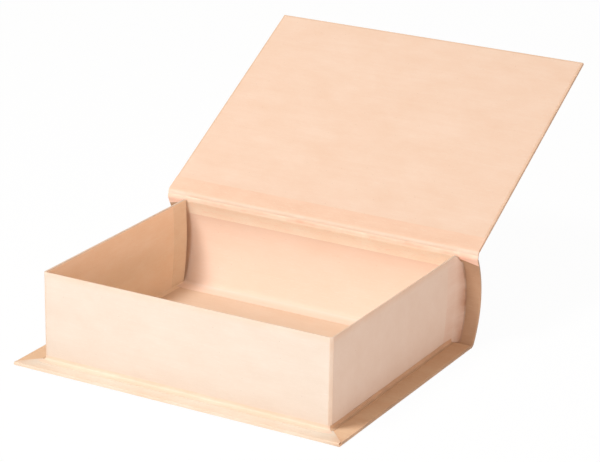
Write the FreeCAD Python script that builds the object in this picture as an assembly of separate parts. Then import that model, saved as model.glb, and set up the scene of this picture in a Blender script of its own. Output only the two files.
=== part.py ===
import FreeCAD, Part
import math
import os

# Book-shaped box of greyboard, card and kraft paper, with its lid open.
# The origin is the centre of the base's underside: +X runs along the spine, +Y from the front
# to the spine, +Z up. Lengths are in millimetres, angles in degrees.

# Overall sizes
LENGTH = 250.0  # base, spine and lid along X
BASE_DEPTH = 188.0  # base slab, from its front edge to the spine's lower bend
LEDGE = 15.0  # base past the tray at the front and at both ends
WALL_HEIGHT = 63.0  # tray walls above the base slab
LID_OVERHANG = 2.0  # closed lid past the base's front edge

# Sheet thicknesses
COVER_BOARD = 1.5  # greyboard of base and lid
CARD = 1.0  # card of tray walls and spine
PAPER = 0.3  # kraft paper, each sheet

# Spine
SPINE_BULGE = 7.5  # middle of the spine behind the line of its two creases
LOWER_CREASE_RISE = 2.9  # spine's lower crease above the base slab
SPINE_LINING_LAP = 2.0  # spine's lining past the tray's outside at both ends

# Paper hinge
GUTTER_WIDTH = 5.0  # crease to crease
GUTTER_SLOPE = 30.0  # closed gutter, falling from the lid to the spine
CREASE_GAP = 0.6  # crease line to the board edge beside it
HINGE_LEAF = 12.0  # pasted part of a joint strip on each side of its crease
LID_CLEARANCE = 0.3  # closed lid above the tray walls
LID_OPEN_ANGLE = 29.5  # lid above the horizontal, leaning back

# Tray
CORNER_RADIUS = 2.0  # outside of the two upright front corners
WALL_FOOT_SETBACK = 1.5  # end wall's rear edge in front of the base's rear edge, at the floor
WALL_TOP_REACH = 1.3  # end wall's rear edge past the base's rear edge, at the top
WALL_REAR_BULGE = 3.0  # bow of the end wall's rear edge
FOOT_LEG = 3.0  # each leg of the tape at the foot of a wall
FOOT_COVE = 1.0  # hollow between the two legs of that tape

# Gussets between the end walls and the spine
GUSSET_FLARE = 3.5  # spread along X from the wall's outside to the spine
GUSSET_LEAF = 1.2  # pasted edge on the spine
GUSSET_DROP = 5.5  # upper end on the spine below the top of the wall

# Lid
LID_MARGIN = 3.0  # folded cover paper left showing round the lid's lining

SLAB = COVER_BOARD + 2 * PAPER
WALL = CARD + 2 * PAPER
HALF = LENGTH / 2
BOARD_HALF = HALF - PAPER
FRONT = -BASE_DEPTH / 2
REAR = BASE_DEPTH / 2
TRAY_HALF = HALF - LEDGE
TRAY_FRONT = FRONT + LEDGE
ROOM_HALF = TRAY_HALF - WALL
ROOM_FRONT = TRAY_FRONT + WALL
WALL_TOP = SLAB + WALL_HEIGHT
LID_FRONT = FRONT - LID_OVERHANG
LID_UNDER = WALL_TOP + LID_CLEARANCE
LID_TOP = LID_UNDER + SLAB
FOLD = (180.0 - LID_OPEN_ANGLE) / 2  # turn at each of the two creases from closed to open


def yz(y, z):
    """Point in the plane X = 0."""
    return FreeCAD.Vector(0, y, z)


X_AXIS = FreeCAD.Vector(1, 0, 0)
WALL_REAR_FOOT = yz(REAR - WALL_FOOT_SETBACK, SLAB)
WALL_REAR_TOP = yz(REAR + WALL_TOP_REACH, WALL_TOP)
GUTTER_RUN = GUTTER_WIDTH * math.cos(math.radians(GUTTER_SLOPE))
GUTTER_DROP = GUTTER_WIDTH * math.sin(math.radians(GUTTER_SLOPE))
LID_CREASE = yz(REAR + CREASE_GAP, LID_UNDER + SLAB / 2)
SPINE_CREASE = LID_CREASE + yz(GUTTER_RUN, -GUTTER_DROP)

# The spine's middle surface is an arc through its lower and upper creases.
LOWER_CREASE_HEIGHT = SLAB + LOWER_CREASE_RISE
SPINE_HALF_CHORD = (SPINE_CREASE.z - LOWER_CREASE_HEIGHT) / 2
SPINE_RADIUS = (SPINE_HALF_CHORD**2 + SPINE_BULGE**2) / (2 * SPINE_BULGE)
SPINE_CENTRE = yz(
    SPINE_CREASE.y + SPINE_BULGE - SPINE_RADIUS,
    LOWER_CREASE_HEIGHT + SPINE_HALF_CHORD,
)
SPINE_END = math.asin(SPINE_HALF_CHORD / SPINE_RADIUS) - CREASE_GAP / SPINE_RADIUS
CARD_INSIDE = SPINE_RADIUS - CARD / 2
CARD_OUTSIDE = SPINE_RADIUS + CARD / 2
SPINE_INSIDE = CARD_INSIDE - PAPER
SPINE_OUTSIDE = CARD_OUTSIDE + PAPER
LEAF_TURN = HINGE_LEAF / SPINE_INSIDE


def box(x0, x1, y0, y1, z0, z1):
    """Box between two values on each axis."""
    return Part.makeBox(x1 - x0, y1 - y0, z1 - z0, FreeCAD.Vector(x0, y0, z0))


def sheet(half_width, y0, y1, z0, z1):
    """Box centred on X = 0."""
    return box(-half_width, half_width, y0, y1, z0, z1)


def along_x(face, x0, x1):
    """Prism of a face in the plane X = 0, between two values of X."""
    placed = face.translated(FreeCAD.Vector(x0, 0, 0))
    return placed.extrude(FreeCAD.Vector(x1 - x0, 0, 0))


def line(start, end):
    return Part.LineSegment(start, end).toShape()


def arc(start, middle, end):
    return Part.Arc(start, middle, end).toShape()


def polygon_face(points):
    return Part.Face(Part.makePolygon(points + points[:1]))


def on_circle(centre, radius, angle):
    return centre + yz(radius * math.cos(angle), radius * math.sin(angle))


def arc_about(centre, radius, start, end):
    angles = (start, (start + end) / 2, end)
    return arc(*[on_circle(centre, radius, angle) for angle in angles])


def band_wire(centre, inside, outside, start, end):
    """Outline of a curved strip between two radii and two angles."""
    inner = arc_about(centre, inside, start, end)
    outer = arc_about(centre, outside, start, end)
    near = line(on_circle(centre, inside, start), on_circle(centre, outside, start))
    far = line(on_circle(centre, inside, end), on_circle(centre, outside, end))
    return Part.Wire([near, outer, far, inner])


def spine_band(inside, outside, start, end):
    return Part.Face(band_wire(SPINE_CENTRE, inside, outside, start, end))


def bend_to_spine(height, radius):
    """Edges of a rounded fold from the base's rear edge up to the spine's lower end.

    The fold leaves the base level at the given height and meets the spine's arc of the given
    radius without a kink, with the largest round that fits between the two.
    """
    start = yz(REAR, height)
    end = on_circle(SPINE_CENTRE, radius, -SPINE_END)
    rise = yz(math.sin(SPINE_END), math.cos(SPINE_END))
    corner = end - rise * ((end.z - height) / rise.z)
    tangent = min((corner - start).Length, (end - corner).Length)
    arc_start = corner - yz(tangent, 0)
    arc_end = corner + rise * tangent
    half_turn = (math.pi / 2 - SPINE_END) / 2
    centre = arc_start + yz(0, tangent / math.tan(half_turn))
    middle = centre + (corner - centre).normalize() * (arc_start - centre).Length
    stations = [(start, arc_start), (arc_end, end)]
    straights = [line(a, b) for a, b in stations if (b - a).Length > PAPER / 100]
    return Part.sortEdges(straights + [arc(arc_start, middle, arc_end)])[0]


def make_base():
    """Base board, the paper wrapped round three of its edges, and the floor's lining."""
    lining_under = SLAB - PAPER
    strip_front = REAR - HINGE_LEAF
    board = sheet(BOARD_HALF, FRONT + PAPER, REAR, PAPER, lining_under)
    floor = sheet(ROOM_HALF, ROOM_FRONT, strip_front, lining_under, SLAB)
    strip_seat = sheet(BOARD_HALF, strip_front, REAR, lining_under, SLAB)
    cover = sheet(HALF, FRONT, REAR, 0, SLAB).cut([board, floor, strip_seat])
    return {"base_board": board, "base_cover_paper": cover, "floor_lining": floor}


def tray_plan(inset, z0, z1):
    """Block of the tray's outline with its two front corners rounded, drawn in by an inset."""
    half = TRAY_HALF - inset
    front = TRAY_FRONT + inset
    rear = REAR + SPINE_BULGE
    block = box(-half, half, front, rear, z0, z1)
    upright = [edge for edge in block.Edges if edge.BoundBox.ZLength > edge.BoundBox.DiagonalLength / 2]
    front_corners = [edge for edge in upright if edge.BoundBox.YMax < front + CORNER_RADIUS]
    return block.makeFillet(CORNER_RADIUS - inset, front_corners)


def wall_rear_edge():
    """Bowed rear edge of an end wall, from floor to top."""
    chord = WALL_REAR_TOP - WALL_REAR_FOOT
    outward = yz(chord.z, -chord.y).normalize()
    middle = WALL_REAR_FOOT + chord * 0.5 + outward * WALL_REAR_BULGE
    return arc(WALL_REAR_FOOT, middle, WALL_REAR_TOP)


def wall_side(front):
    """Side outline of an end wall from a front limit to its bowed rear edge."""
    floor_front = yz(front, SLAB)
    top_front = yz(front, WALL_TOP)
    outline = [
        line(floor_front, WALL_REAR_FOOT),
        wall_rear_edge(),
        line(WALL_REAR_TOP, top_front),
        line(top_front, floor_front),
    ]
    return Part.Face(Part.Wire(outline))


def make_tray():
    """Three wall boards, the wrap round them and the three linings inside."""
    board_top = WALL_TOP - PAPER
    board_half = TRAY_HALF - PAPER
    card_inside = ROOM_HALF + PAPER
    card_rear = ROOM_FRONT - PAPER
    limit = along_x(wall_side(FRONT), -HALF, HALF)
    outside = tray_plan(0, SLAB, WALL_TOP)
    core = tray_plan(PAPER, SLAB, board_top)
    lined_core = core.common(limit)
    room = sheet(ROOM_HALF, ROOM_FRONT, REAR + SPINE_BULGE, SLAB, WALL_TOP)
    front_slice = sheet(HALF, FRONT, card_rear, SLAB, board_top)
    end_slice = along_x(wall_side(card_rear), card_inside, board_half)
    lining_slice = along_x(wall_side(card_rear), ROOM_HALF, card_inside)
    low = sheet(HALF, FRONT, REAR + SPINE_BULGE, SLAB, board_top)

    right_board = core.common(end_slice)
    right_lining = lining_slice.common(low)
    return {
        "front_wall_board": core.common(front_slice),
        "left_wall_board": mirrored(right_board),
        "right_wall_board": right_board,
        "tray_wrap_paper": outside.common(limit).cut([lined_core, room]),
        "front_lining": sheet(ROOM_HALF, card_rear, ROOM_FRONT, SLAB, board_top),
        "left_lining": mirrored(right_lining),
        "right_lining": right_lining,
    }


def mirrored(shape):
    """The same piece at the other end of the box."""
    return shape.mirror(FreeCAD.Vector(), X_AXIS)


def make_foot_tapes():
    """Folded tape along the foot of the front wall and of both end walls, mitred at the corners."""
    side = TRAY_HALF
    bend = CORNER_RADIUS * (1 - math.sqrt(0.5))
    left_rear = FreeCAD.Vector(-side, WALL_REAR_FOOT.y, SLAB)
    left_bend = FreeCAD.Vector(-side, TRAY_FRONT + CORNER_RADIUS, SLAB)
    left_middle = FreeCAD.Vector(-side + bend, TRAY_FRONT + bend, SLAB)
    front_left = FreeCAD.Vector(-side + CORNER_RADIUS, TRAY_FRONT, SLAB)

    def right(point):
        return FreeCAD.Vector(-point.x, point.y, point.z)

    path = Part.Wire(
        [
            line(left_rear, left_bend),
            arc(left_bend, left_middle, front_left),
            line(front_left, right(front_left)),
            arc(right(front_left), right(left_middle), right(left_bend)),
            line(right(left_bend), right(left_rear)),
        ]
    )

    def section(outward, up):
        return left_rear + FreeCAD.Vector(-outward, 0, up)

    cove_end = PAPER + FOOT_COVE
    cove_middle = cove_end - FOOT_COVE * math.sqrt(0.5)
    profile = Part.Wire(
        [
            line(section(0, 0), section(FOOT_LEG, 0)),
            line(section(FOOT_LEG, 0), section(FOOT_LEG, PAPER)),
            line(section(FOOT_LEG, PAPER), section(cove_end, PAPER)),
            arc(section(cove_end, PAPER), section(cove_middle, cove_middle), section(PAPER, cove_end)),
            line(section(PAPER, cove_end), section(PAPER, FOOT_LEG)),
            line(section(PAPER, FOOT_LEG), section(0, FOOT_LEG)),
            line(section(0, FOOT_LEG), section(0, 0)),
        ]
    )
    tape = path.makePipeShell([profile], True, False)

    corner = FreeCAD.Vector(side - CORNER_RADIUS, TRAY_FRONT + CORNER_RADIUS, SLAB)
    diagonal = FreeCAD.Vector(1, -1, 0) * (LEDGE + CORNER_RADIUS)
    across = [corner, corner + diagonal, right(corner + diagonal), right(corner)]
    front_zone = polygon_face(across).extrude(FreeCAD.Vector(0, 0, WALL_HEIGHT))
    right_zone = box(0, HALF, FRONT, REAR, SLAB, WALL_TOP)
    sides = tape.cut(front_zone)
    right_tape = sides.common(right_zone)
    return {
        "front_foot_tape": tape.common(front_zone),
        "left_foot_tape": mirrored(right_tape),
        "right_foot_tape": right_tape,
    }


def make_spine():
    """Curved spine card, its outside paper with the lower bend, its lining and the inner strips."""
    low = -SPINE_END
    high = SPINE_END
    lining_low = low + LEAF_TURN
    lining_high = high - LEAF_TURN
    lining_half = TRAY_HALF + SPINE_LINING_LAP

    board = along_x(spine_band(CARD_INSIDE, CARD_OUTSIDE, low, high), -BOARD_HALF, BOARD_HALF)
    lining_face = spine_band(SPINE_INSIDE, CARD_INSIDE, lining_low, lining_high)
    leaf_face = spine_band(SPINE_INSIDE, CARD_INSIDE, lining_high, high)

    outer_bend = bend_to_spine(0, SPINE_OUTSIDE)
    outer_arc = arc_about(SPINE_CENTRE, SPINE_OUTSIDE, low, high)
    inner_bend = bend_to_spine(SLAB, SPINE_INSIDE)
    inner_arc = arc_about(SPINE_CENTRE, SPINE_INSIDE, low, high)

    outer_path = Part.Wire(outer_bend + [outer_arc])
    cover_face = outer_path.makeOffset2D(-PAPER, fill=True, openResult=True)
    base_end = line(yz(REAR, 0), yz(REAR, SLAB))
    top_end = line(on_circle(SPINE_CENTRE, SPINE_INSIDE, high), on_circle(SPINE_CENTRE, SPINE_OUTSIDE, high))
    cap_edges = outer_bend + [outer_arc, top_end, inner_arc] + inner_bend + [base_end]
    cap_face = Part.Face(Part.Wire(Part.sortEdges(cap_edges)[0]))
    right_cap = along_x(cap_face, BOARD_HALF, HALF)
    right_turn_in = along_x(lining_face, lining_half, HALF)
    folds = [right_cap, right_turn_in, mirrored(right_cap), mirrored(right_turn_in)]
    cover = along_x(cover_face, -HALF, HALF).fuse(folds).removeSplitter()

    floor_leaf = line(yz(REAR - HINGE_LEAF, SLAB), yz(REAR, SLAB))
    spine_leaf = arc_about(SPINE_CENTRE, SPINE_INSIDE, low, lining_low)
    strip_path = Part.Wire([floor_leaf] + inner_bend + [spine_leaf])
    strip_face = strip_path.makeOffset2D(PAPER, fill=True, openResult=True)
    return {
        "spine_board": board,
        "spine_cover_paper": cover,
        "spine_lining": along_x(lining_face, -lining_half, lining_half),
        "lower_joint_strip": along_x(strip_face, -BOARD_HALF, BOARD_HALF),
        "spine_hinge_leaf": along_x(leaf_face, -BOARD_HALF, BOARD_HALF),
    }


def make_gussets():
    """Flared paper gussets that close the corner between each end wall and the spine."""
    rear = wall_rear_edge().Curve
    centre = rear.Center
    inside = rear.Radius
    outside = inside + PAPER
    wall_low = math.asin((SLAB - centre.z) / outside)
    wall_high = math.asin((WALL_TOP - centre.z) / outside)
    spine_low = -SPINE_END
    spine_high = math.asin((WALL_TOP - GUSSET_DROP - SPINE_CENTRE.z) / SPINE_INSIDE)
    spread = TRAY_HALF + GUSSET_FLARE

    wall_wire = band_wire(centre, inside, outside, wall_low, wall_high)
    spine_wire = band_wire(SPINE_CENTRE, SPINE_INSIDE - PAPER, SPINE_INSIDE, spine_low, spine_high)
    edge_cap = along_x(Part.Face(wall_wire), ROOM_HALF, TRAY_HALF)
    spine_leaf = along_x(Part.Face(spine_wire), spread, spread + GUSSET_LEAF)
    ends = [
        wall_wire.translated(FreeCAD.Vector(TRAY_HALF, 0, 0)),
        spine_wire.translated(FreeCAD.Vector(spread, 0, 0)),
    ]
    flare = Part.makeLoft(ends, True, True)
    right_gusset = edge_cap.fuse([flare, spine_leaf]).removeSplitter()
    return {"left_gusset": mirrored(right_gusset), "right_gusset": right_gusset}


def turned(shape, axis_point):
    """The piece swung open about a crease by one fold."""
    return shape.copy().rotate(axis_point, X_AXIS, -FOLD)


def make_hinge():
    """Free paper gutter between the creases, with a round edge on each crease line."""
    run = (LID_CREASE - SPINE_CREASE).normalize()
    edge = run * PAPER
    side = yz(-run.z, run.y) * PAPER
    outline = [
        line(SPINE_CREASE + side, LID_CREASE + side),
        arc(LID_CREASE + side, LID_CREASE + edge, LID_CREASE - side),
        line(LID_CREASE - side, SPINE_CREASE - side),
        arc(SPINE_CREASE - side, SPINE_CREASE - edge, SPINE_CREASE + side),
    ]
    gutter = along_x(Part.Face(Part.Wire(outline)), -HALF, HALF)
    return {"hinge_gutter": turned(gutter, SPINE_CREASE)}


def make_lid():
    """Lid board, the paper wrapped round three of its edges, its lining and its hinge leaf."""
    lining_top = LID_UNDER + PAPER
    leaf_front = REAR - HINGE_LEAF
    lining_half = HALF - LID_MARGIN
    board = sheet(BOARD_HALF, LID_FRONT + PAPER, REAR, lining_top, LID_TOP - PAPER)
    lining = sheet(lining_half, LID_FRONT + LID_MARGIN, leaf_front, LID_UNDER, lining_top)
    leaf = sheet(BOARD_HALF, leaf_front, REAR, LID_UNDER, lining_top)
    cover = sheet(HALF, LID_FRONT, REAR, LID_UNDER, LID_TOP).cut([board, lining, leaf])
    closed = {
        "lid_board": board,
        "lid_cover_paper": cover,
        "lid_lining": lining,
        "lid_hinge_leaf": leaf,
    }
    return {name: turned(turned(shape, LID_CREASE), SPINE_CREASE) for name, shape in closed.items()}


def main():
    groups = [
        make_base(),
        make_tray(),
        make_foot_tapes(),
        make_spine(),
        make_gussets(),
        make_hinge(),
        make_lid(),
    ]
    os.makedirs("parts", exist_ok=True)
    for group in groups:
        for name, shape in group.items():
            shape.exportStep(f"parts/{name}.step")


main()
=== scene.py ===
"""Looks of a plain kraft box built like a book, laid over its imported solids.

Meshes are drawn in millimetres in the box's own frame: +X runs along the spine, +Y from the front
to the spine and +Z up, with the origin at the centre of the base's underside.
"""

import logging
import math
from collections.abc import Callable, Sequence
from dataclasses import dataclass
from enum import Enum

import bmesh
import bpy
from mathutils import Matrix, Vector, noise
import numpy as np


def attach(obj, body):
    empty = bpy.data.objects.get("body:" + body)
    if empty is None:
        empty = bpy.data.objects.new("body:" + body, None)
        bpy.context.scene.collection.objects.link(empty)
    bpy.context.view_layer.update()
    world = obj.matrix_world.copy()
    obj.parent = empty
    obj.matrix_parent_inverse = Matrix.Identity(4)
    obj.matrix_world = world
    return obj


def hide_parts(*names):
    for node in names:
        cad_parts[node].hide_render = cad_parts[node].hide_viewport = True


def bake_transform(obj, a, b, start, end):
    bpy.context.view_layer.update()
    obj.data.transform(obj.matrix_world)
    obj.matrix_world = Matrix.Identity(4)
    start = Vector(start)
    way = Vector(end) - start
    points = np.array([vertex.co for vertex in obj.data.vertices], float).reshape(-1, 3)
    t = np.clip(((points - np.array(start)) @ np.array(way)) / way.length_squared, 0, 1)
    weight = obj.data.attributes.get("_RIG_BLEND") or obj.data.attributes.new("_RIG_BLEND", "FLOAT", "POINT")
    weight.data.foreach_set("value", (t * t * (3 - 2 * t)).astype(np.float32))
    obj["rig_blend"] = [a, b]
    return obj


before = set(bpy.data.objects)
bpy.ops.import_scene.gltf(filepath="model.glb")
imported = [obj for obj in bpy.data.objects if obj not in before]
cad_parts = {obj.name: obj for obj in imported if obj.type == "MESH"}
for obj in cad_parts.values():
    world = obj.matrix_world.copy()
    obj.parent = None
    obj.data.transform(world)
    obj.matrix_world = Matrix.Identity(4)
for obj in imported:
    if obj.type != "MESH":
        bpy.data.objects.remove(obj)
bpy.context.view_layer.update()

BMesh = bmesh.types.BMesh
Edges = list[bmesh.types.BMEdge]
Tree = bpy.types.NodeTree
Socket = bpy.types.NodeSocket
Profile = tuple[tuple[float, float], ...]

LOG = logging.getLogger("kraft_box")
MM = 0.001  # metres in a millimetre
X_AXIS = Vector((1, 0, 0))
Y_AXIS = Vector((0, 1, 0))
Z_AXIS = Vector((0, 0, 1))
ORIGIN = Vector((0, 0, 0))
HANDS = (("left", -1), ("right", 1))  # names of the two ends, and their side on X
WEAR_AND_SHADE = "fold"  # mesh attribute, 0 to 1: how far a fold has scuffed the paper, and on a few pieces how much painted shade they get
SHARP = math.radians(38)  # edges that turn more than this keep a crisp line
TINY = 0.001  # millimetres within which two points are one
NOISE_SEED = 1  # Blender seeds its vector noise from the clock unless it is told a seed
WHITE = (1, 1, 1, 1)
MIX_SHARE, MIX_UNDER, MIX_OVER, MIX_RESULT = 0, 6, 7, 2  # sockets of a Mix node for colours


def yz(y: float, z: float) -> Vector:
    """Point in the plane across the middle of the box."""
    return Vector((0, y, z))


def turned(point: Vector, centre: Vector, degrees: float) -> Vector:
    """Point carried round a centre, about the long axis."""
    return centre + Matrix.Rotation(math.radians(degrees), 3, "X") @ (point - centre)


def linear(hex_colour: str) -> tuple[float, float, float, float]:
    """Turn an sRGB hex colour into the linear colour that a shader takes, by the sRGB curve.

    Args:
        hex_colour: six hex digits after a #.

    Returns:
        Linear red, green and blue, and an alpha of 1.
    """
    shares = [int(hex_colour[i : i + 2], 16) / 255 for i in (1, 3, 5)]
    red, green, blue = [
        share / 12.92 if share <= 0.04045 else ((share + 0.055) / 1.055) ** 2.4
        for share in shares
    ]
    return red, green, blue, 1.0


def add(
    tree: Tree, kind: str, inputs: dict[str | int, object] | None = None, **settings: object
) -> bpy.types.Node:
    """Add a node with its settings, values and links.

    Args:
        tree: node tree to add to.
        kind: node type.
        inputs: socket name or number to a value, or to the socket that feeds it.
        settings: the node's own properties.

    Returns:
        The new node.
    """
    node = tree.nodes.new(kind)
    for name, value in settings.items():
        setattr(node, name, value)
    for socket, value in (inputs or {}).items():
        if isinstance(value, Socket):
            tree.links.new(value, node.inputs[socket])
        else:
            node.inputs[socket].default_value = value
    return node


def bare_tree(owner: bpy.types.Material | bpy.types.World) -> Tree:
    """Empty the node tree of a new material or world.

    Args:
        owner: what the tree belongs to.

    Returns:
        The tree.
    """
    owner.use_nodes = True
    owner.node_tree.nodes.clear()
    return owner.node_tree


def seen_directly(tree: Tree) -> Socket:
    """Socket that is 1 for what the camera sees, also in a mirror or through glass.

    Args:
        tree: node tree to add to.

    Returns:
        The socket.
    """
    path = add(tree, "ShaderNodeLightPath").outputs
    seen = path["Is Camera Ray"]
    for other in ("Is Glossy Ray", "Is Transmission Ray"):
        either = add(tree, "ShaderNodeMath", {0: seen, 1: path[other]}, operation="MAXIMUM")
        seen = either.outputs[0]
    return seen


class Grain(Enum):
    """Way the fibres run in a sheet, as the axis that they follow."""

    ALONG_SPINE = 0
    ALONG_DEPTH = 1


@dataclass(frozen=True)
class Pattern:
    """Noise in a sheet: the size of one mark, how ragged it is, and how it is turned."""

    along_mm: float
    across_mm: float
    detail: float
    roughness: float
    turn: tuple[float, float, float] = (0.0, 0.0, 0.0)
    distortion: float = 0.0

    def draw(self, tree: Tree, place: Socket, grain: Grain) -> Socket:
        """Add the pattern to a material.

        Args:
            tree: node tree to add to.
            place: coordinates in metres.
            grain: way that the marks run.

        Returns:
            The pattern's value.
        """
        scale = [1 / (self.across_mm * MM)] * 3
        scale[grain.value] = 1 / (self.along_mm * MM)
        stretched = add(tree, "ShaderNodeMapping", {
            "Vector": place, "Scale": scale, "Rotation": self.turn}).outputs[0]
        return add(tree, "ShaderNodeTexNoise", {
            "Vector": stretched, "Scale": 1.0, "Detail": self.detail, "Roughness": self.roughness,
            "Distortion": self.distortion}).outputs[0]


@dataclass(frozen=True)
class Mark:
    """What a pattern is worth: the values between which it rises, and its worth at both."""

    begins: float
    full: float
    most: float
    least: float = 0.0

    def ranges(self, value: Socket) -> dict[str, object]:
        """Inputs of a Map Range node."""
        return {"Value": value, "From Min": self.begins, "From Max": self.full,
                "To Min": self.least, "To Max": self.most}


@dataclass(frozen=True)
class Finish:
    """Finish that is drawn in a node tree, once."""

    name: str

    def material(self) -> bpy.types.Material:
        """Build the material, or find it.

        Returns:
            The material.
        """
        made = bpy.data.materials.get(self.name)
        if not made:
            made = bpy.data.materials.new(self.name)
            tree = bare_tree(made)
            place = add(tree, "ShaderNodeTexCoord").outputs["Object"]
            shader = add(tree, "ShaderNodeBsdfPrincipled", self.surface(tree, place)).outputs[0]
            add(tree, "ShaderNodeOutputMaterial", {"Surface": self.shown(tree, shader)})
        return made

    def surface(self, tree: Tree, place: Socket) -> dict[str, object]:
        """Inputs of the shader, which each finish draws in its own way."""
        raise NotImplementedError

    def shown(self, tree: Tree, shader: Socket) -> Socket:
        """Shader as it goes to the output."""
        return shader


@dataclass(frozen=True)
class KraftPaper(Finish):
    """Unbleached kraft paper, rolled and matt, pasted on board.

    The eye sees a warm pinkish buff with soft clouds where the pulp lay thicker, faint streaks
    along the roll, pale and dark fibres, a few bark specks, and fuzz or bare board where a fold is
    rubbed. Real fibres are about 0.03 mm wide and the paper's tooth is about 0.1 mm. Both are
    drawn coarser, the fibres fifteen times and the tooth seven times, so that they show.
    """

    tone: str
    cloud: str
    scuff: str
    wear_or_shade: str = ""  # what a rubbed edge shows, if not the pale fuzz of a scuff; on the gussets a painted shade, on the wall strip's rim partly one
    grain: Grain = Grain.ALONG_SPINE
    speck: str = "#8E6244"
    clouds: Pattern = Pattern(32.0, 16.0, 4.0, 0.6)
    streaks: Pattern = Pattern(70.0, 2.4, 3.0, 0.55)
    fibres: Pattern = Pattern(4.5, 0.45, 2.0, 0.6, (0.25, 0.2, 0.3), 1.4)
    tooth: Pattern = Pattern(0.7, 0.7, 3.0, 0.65)
    cloud_mark: Mark = Mark(0.32, 0.72, 0.75)
    streak_mark: Mark = Mark(0.4, 0.75, 0.3)
    pale_fibre: Mark = Mark(0.56, 0.72, 0.5)
    dark_fibre: Mark = Mark(0.42, 0.26, 0.45)
    patchy_rub: Mark = Mark(0.25, 0.65, 1.0, 0.35)
    roughness: Mark = Mark(0.3, 0.7, 0.93, 0.78)
    speck_spacing_mm: float = 6.0
    speck_radius_mm: float = 0.32
    speck_share: float = 0.35
    bump_mm: float = 0.06
    bump: float = 0.45
    ior: float = 1.5
    gloss: float = 0.25

    def surface(self, tree: Tree, place: Socket) -> dict[str, object]:
        """Draw the paper's colour from clouds to wear, and its tooth as roughness and bump.

        Args:
            tree: node tree to add to.
            place: coordinates in metres.

        Returns:
            Inputs of the shader.
        """
        cloud, streak, fibre, tooth = [
            pattern.draw(tree, place, self.grain)
            for pattern in (self.clouds, self.streaks, self.fibres, self.tooth)
        ]
        spot = add(tree, "ShaderNodeTexVoronoi", {
            "Vector": place, "Scale": 1 / (self.speck_spacing_mm * MM)}).outputs["Distance"]
        size = self.speck_radius_mm / self.speck_spacing_mm
        layers = []
        for value, mark, tone in (
            (cloud, self.cloud_mark, self.cloud),
            (streak, self.streak_mark, self.cloud),
            (fibre, self.pale_fibre, self.scuff),
            (fibre, self.dark_fibre, self.cloud),
            (spot, Mark(size, size / 2, self.speck_share), self.speck),
        ):
            layers.append((add(tree, "ShaderNodeMapRange", mark.ranges(value)).outputs[0], tone))
        # scuffing, and on a few pieces painted shade, mixed in from the mesh attribute
        rubbed = add(tree, "ShaderNodeAttribute", attribute_name=WEAR_AND_SHADE).outputs["Fac"]
        patchy = add(tree, "ShaderNodeMapRange", self.patchy_rub.ranges(cloud)).outputs[0]
        rub = add(tree, "ShaderNodeMath", {0: rubbed, 1: patchy}, operation="MULTIPLY").outputs[0]
        layers.append((rub, self.wear_or_shade or self.scuff))

        colour = linear(self.tone)
        for share, tone in layers:
            colour = add(tree, "ShaderNodeMix", {
                MIX_SHARE: share, MIX_UNDER: colour, MIX_OVER: linear(tone)},
                data_type="RGBA").outputs[MIX_RESULT]
        rough = add(tree, "ShaderNodeMapRange", self.roughness.ranges(tooth)).outputs[0]
        height = add(tree, "ShaderNodeMath", {0: fibre, 1: tooth}, operation="ADD").outputs[0]
        normal = add(tree, "ShaderNodeBump", {
            "Strength": self.bump, "Distance": self.bump_mm * MM, "Height": height}).outputs[0]
        return {"Base Color": colour, "Roughness": rough, "Normal": normal, "IOR": self.ior,
                "Specular IOR Level": self.gloss}


@dataclass(frozen=True)
class PulpBoard(Finish):
    """Grey recycled board, pressed from pulp: dull, soft-edged, flecked with ink and scraps."""

    tone: str
    fleck: str
    scraps: Pattern = Pattern(1.4, 1.4, 4.0, 0.7)
    tooth: Pattern = Pattern(0.5, 0.5, 3.0, 0.5)
    fleck_mark: Mark = Mark(0.5, 0.68, 0.7)
    roughness: Mark = Mark(0.0, 1.0, 0.97, 0.82)
    bump_mm: float = 0.08
    bump: float = 0.5
    ior: float = 1.5
    gloss: float = 0.2

    def surface(self, tree: Tree, place: Socket) -> dict[str, object]:
        """Draw the board's flecks, and its tooth as roughness and bump.

        Args:
            tree: node tree to add to.
            place: coordinates in metres.

        Returns:
            Inputs of the shader.
        """
        scrap, tooth = [
            pattern.draw(tree, place, Grain.ALONG_SPINE) for pattern in (self.scraps, self.tooth)]
        flecks = add(tree, "ShaderNodeMapRange", self.fleck_mark.ranges(scrap)).outputs[0]
        colour = add(tree, "ShaderNodeMix", {
            MIX_SHARE: flecks, MIX_UNDER: linear(self.tone), MIX_OVER: linear(self.fleck)},
            data_type="RGBA").outputs[MIX_RESULT]
        rough = add(tree, "ShaderNodeMapRange", self.roughness.ranges(tooth)).outputs[0]
        normal = add(tree, "ShaderNodeBump", {
            "Strength": self.bump, "Distance": self.bump_mm * MM, "Height": tooth}).outputs[0]
        return {"Base Color": colour, "Roughness": rough, "Normal": normal, "IOR": self.ior,
                "Specular IOR Level": self.gloss}


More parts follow.
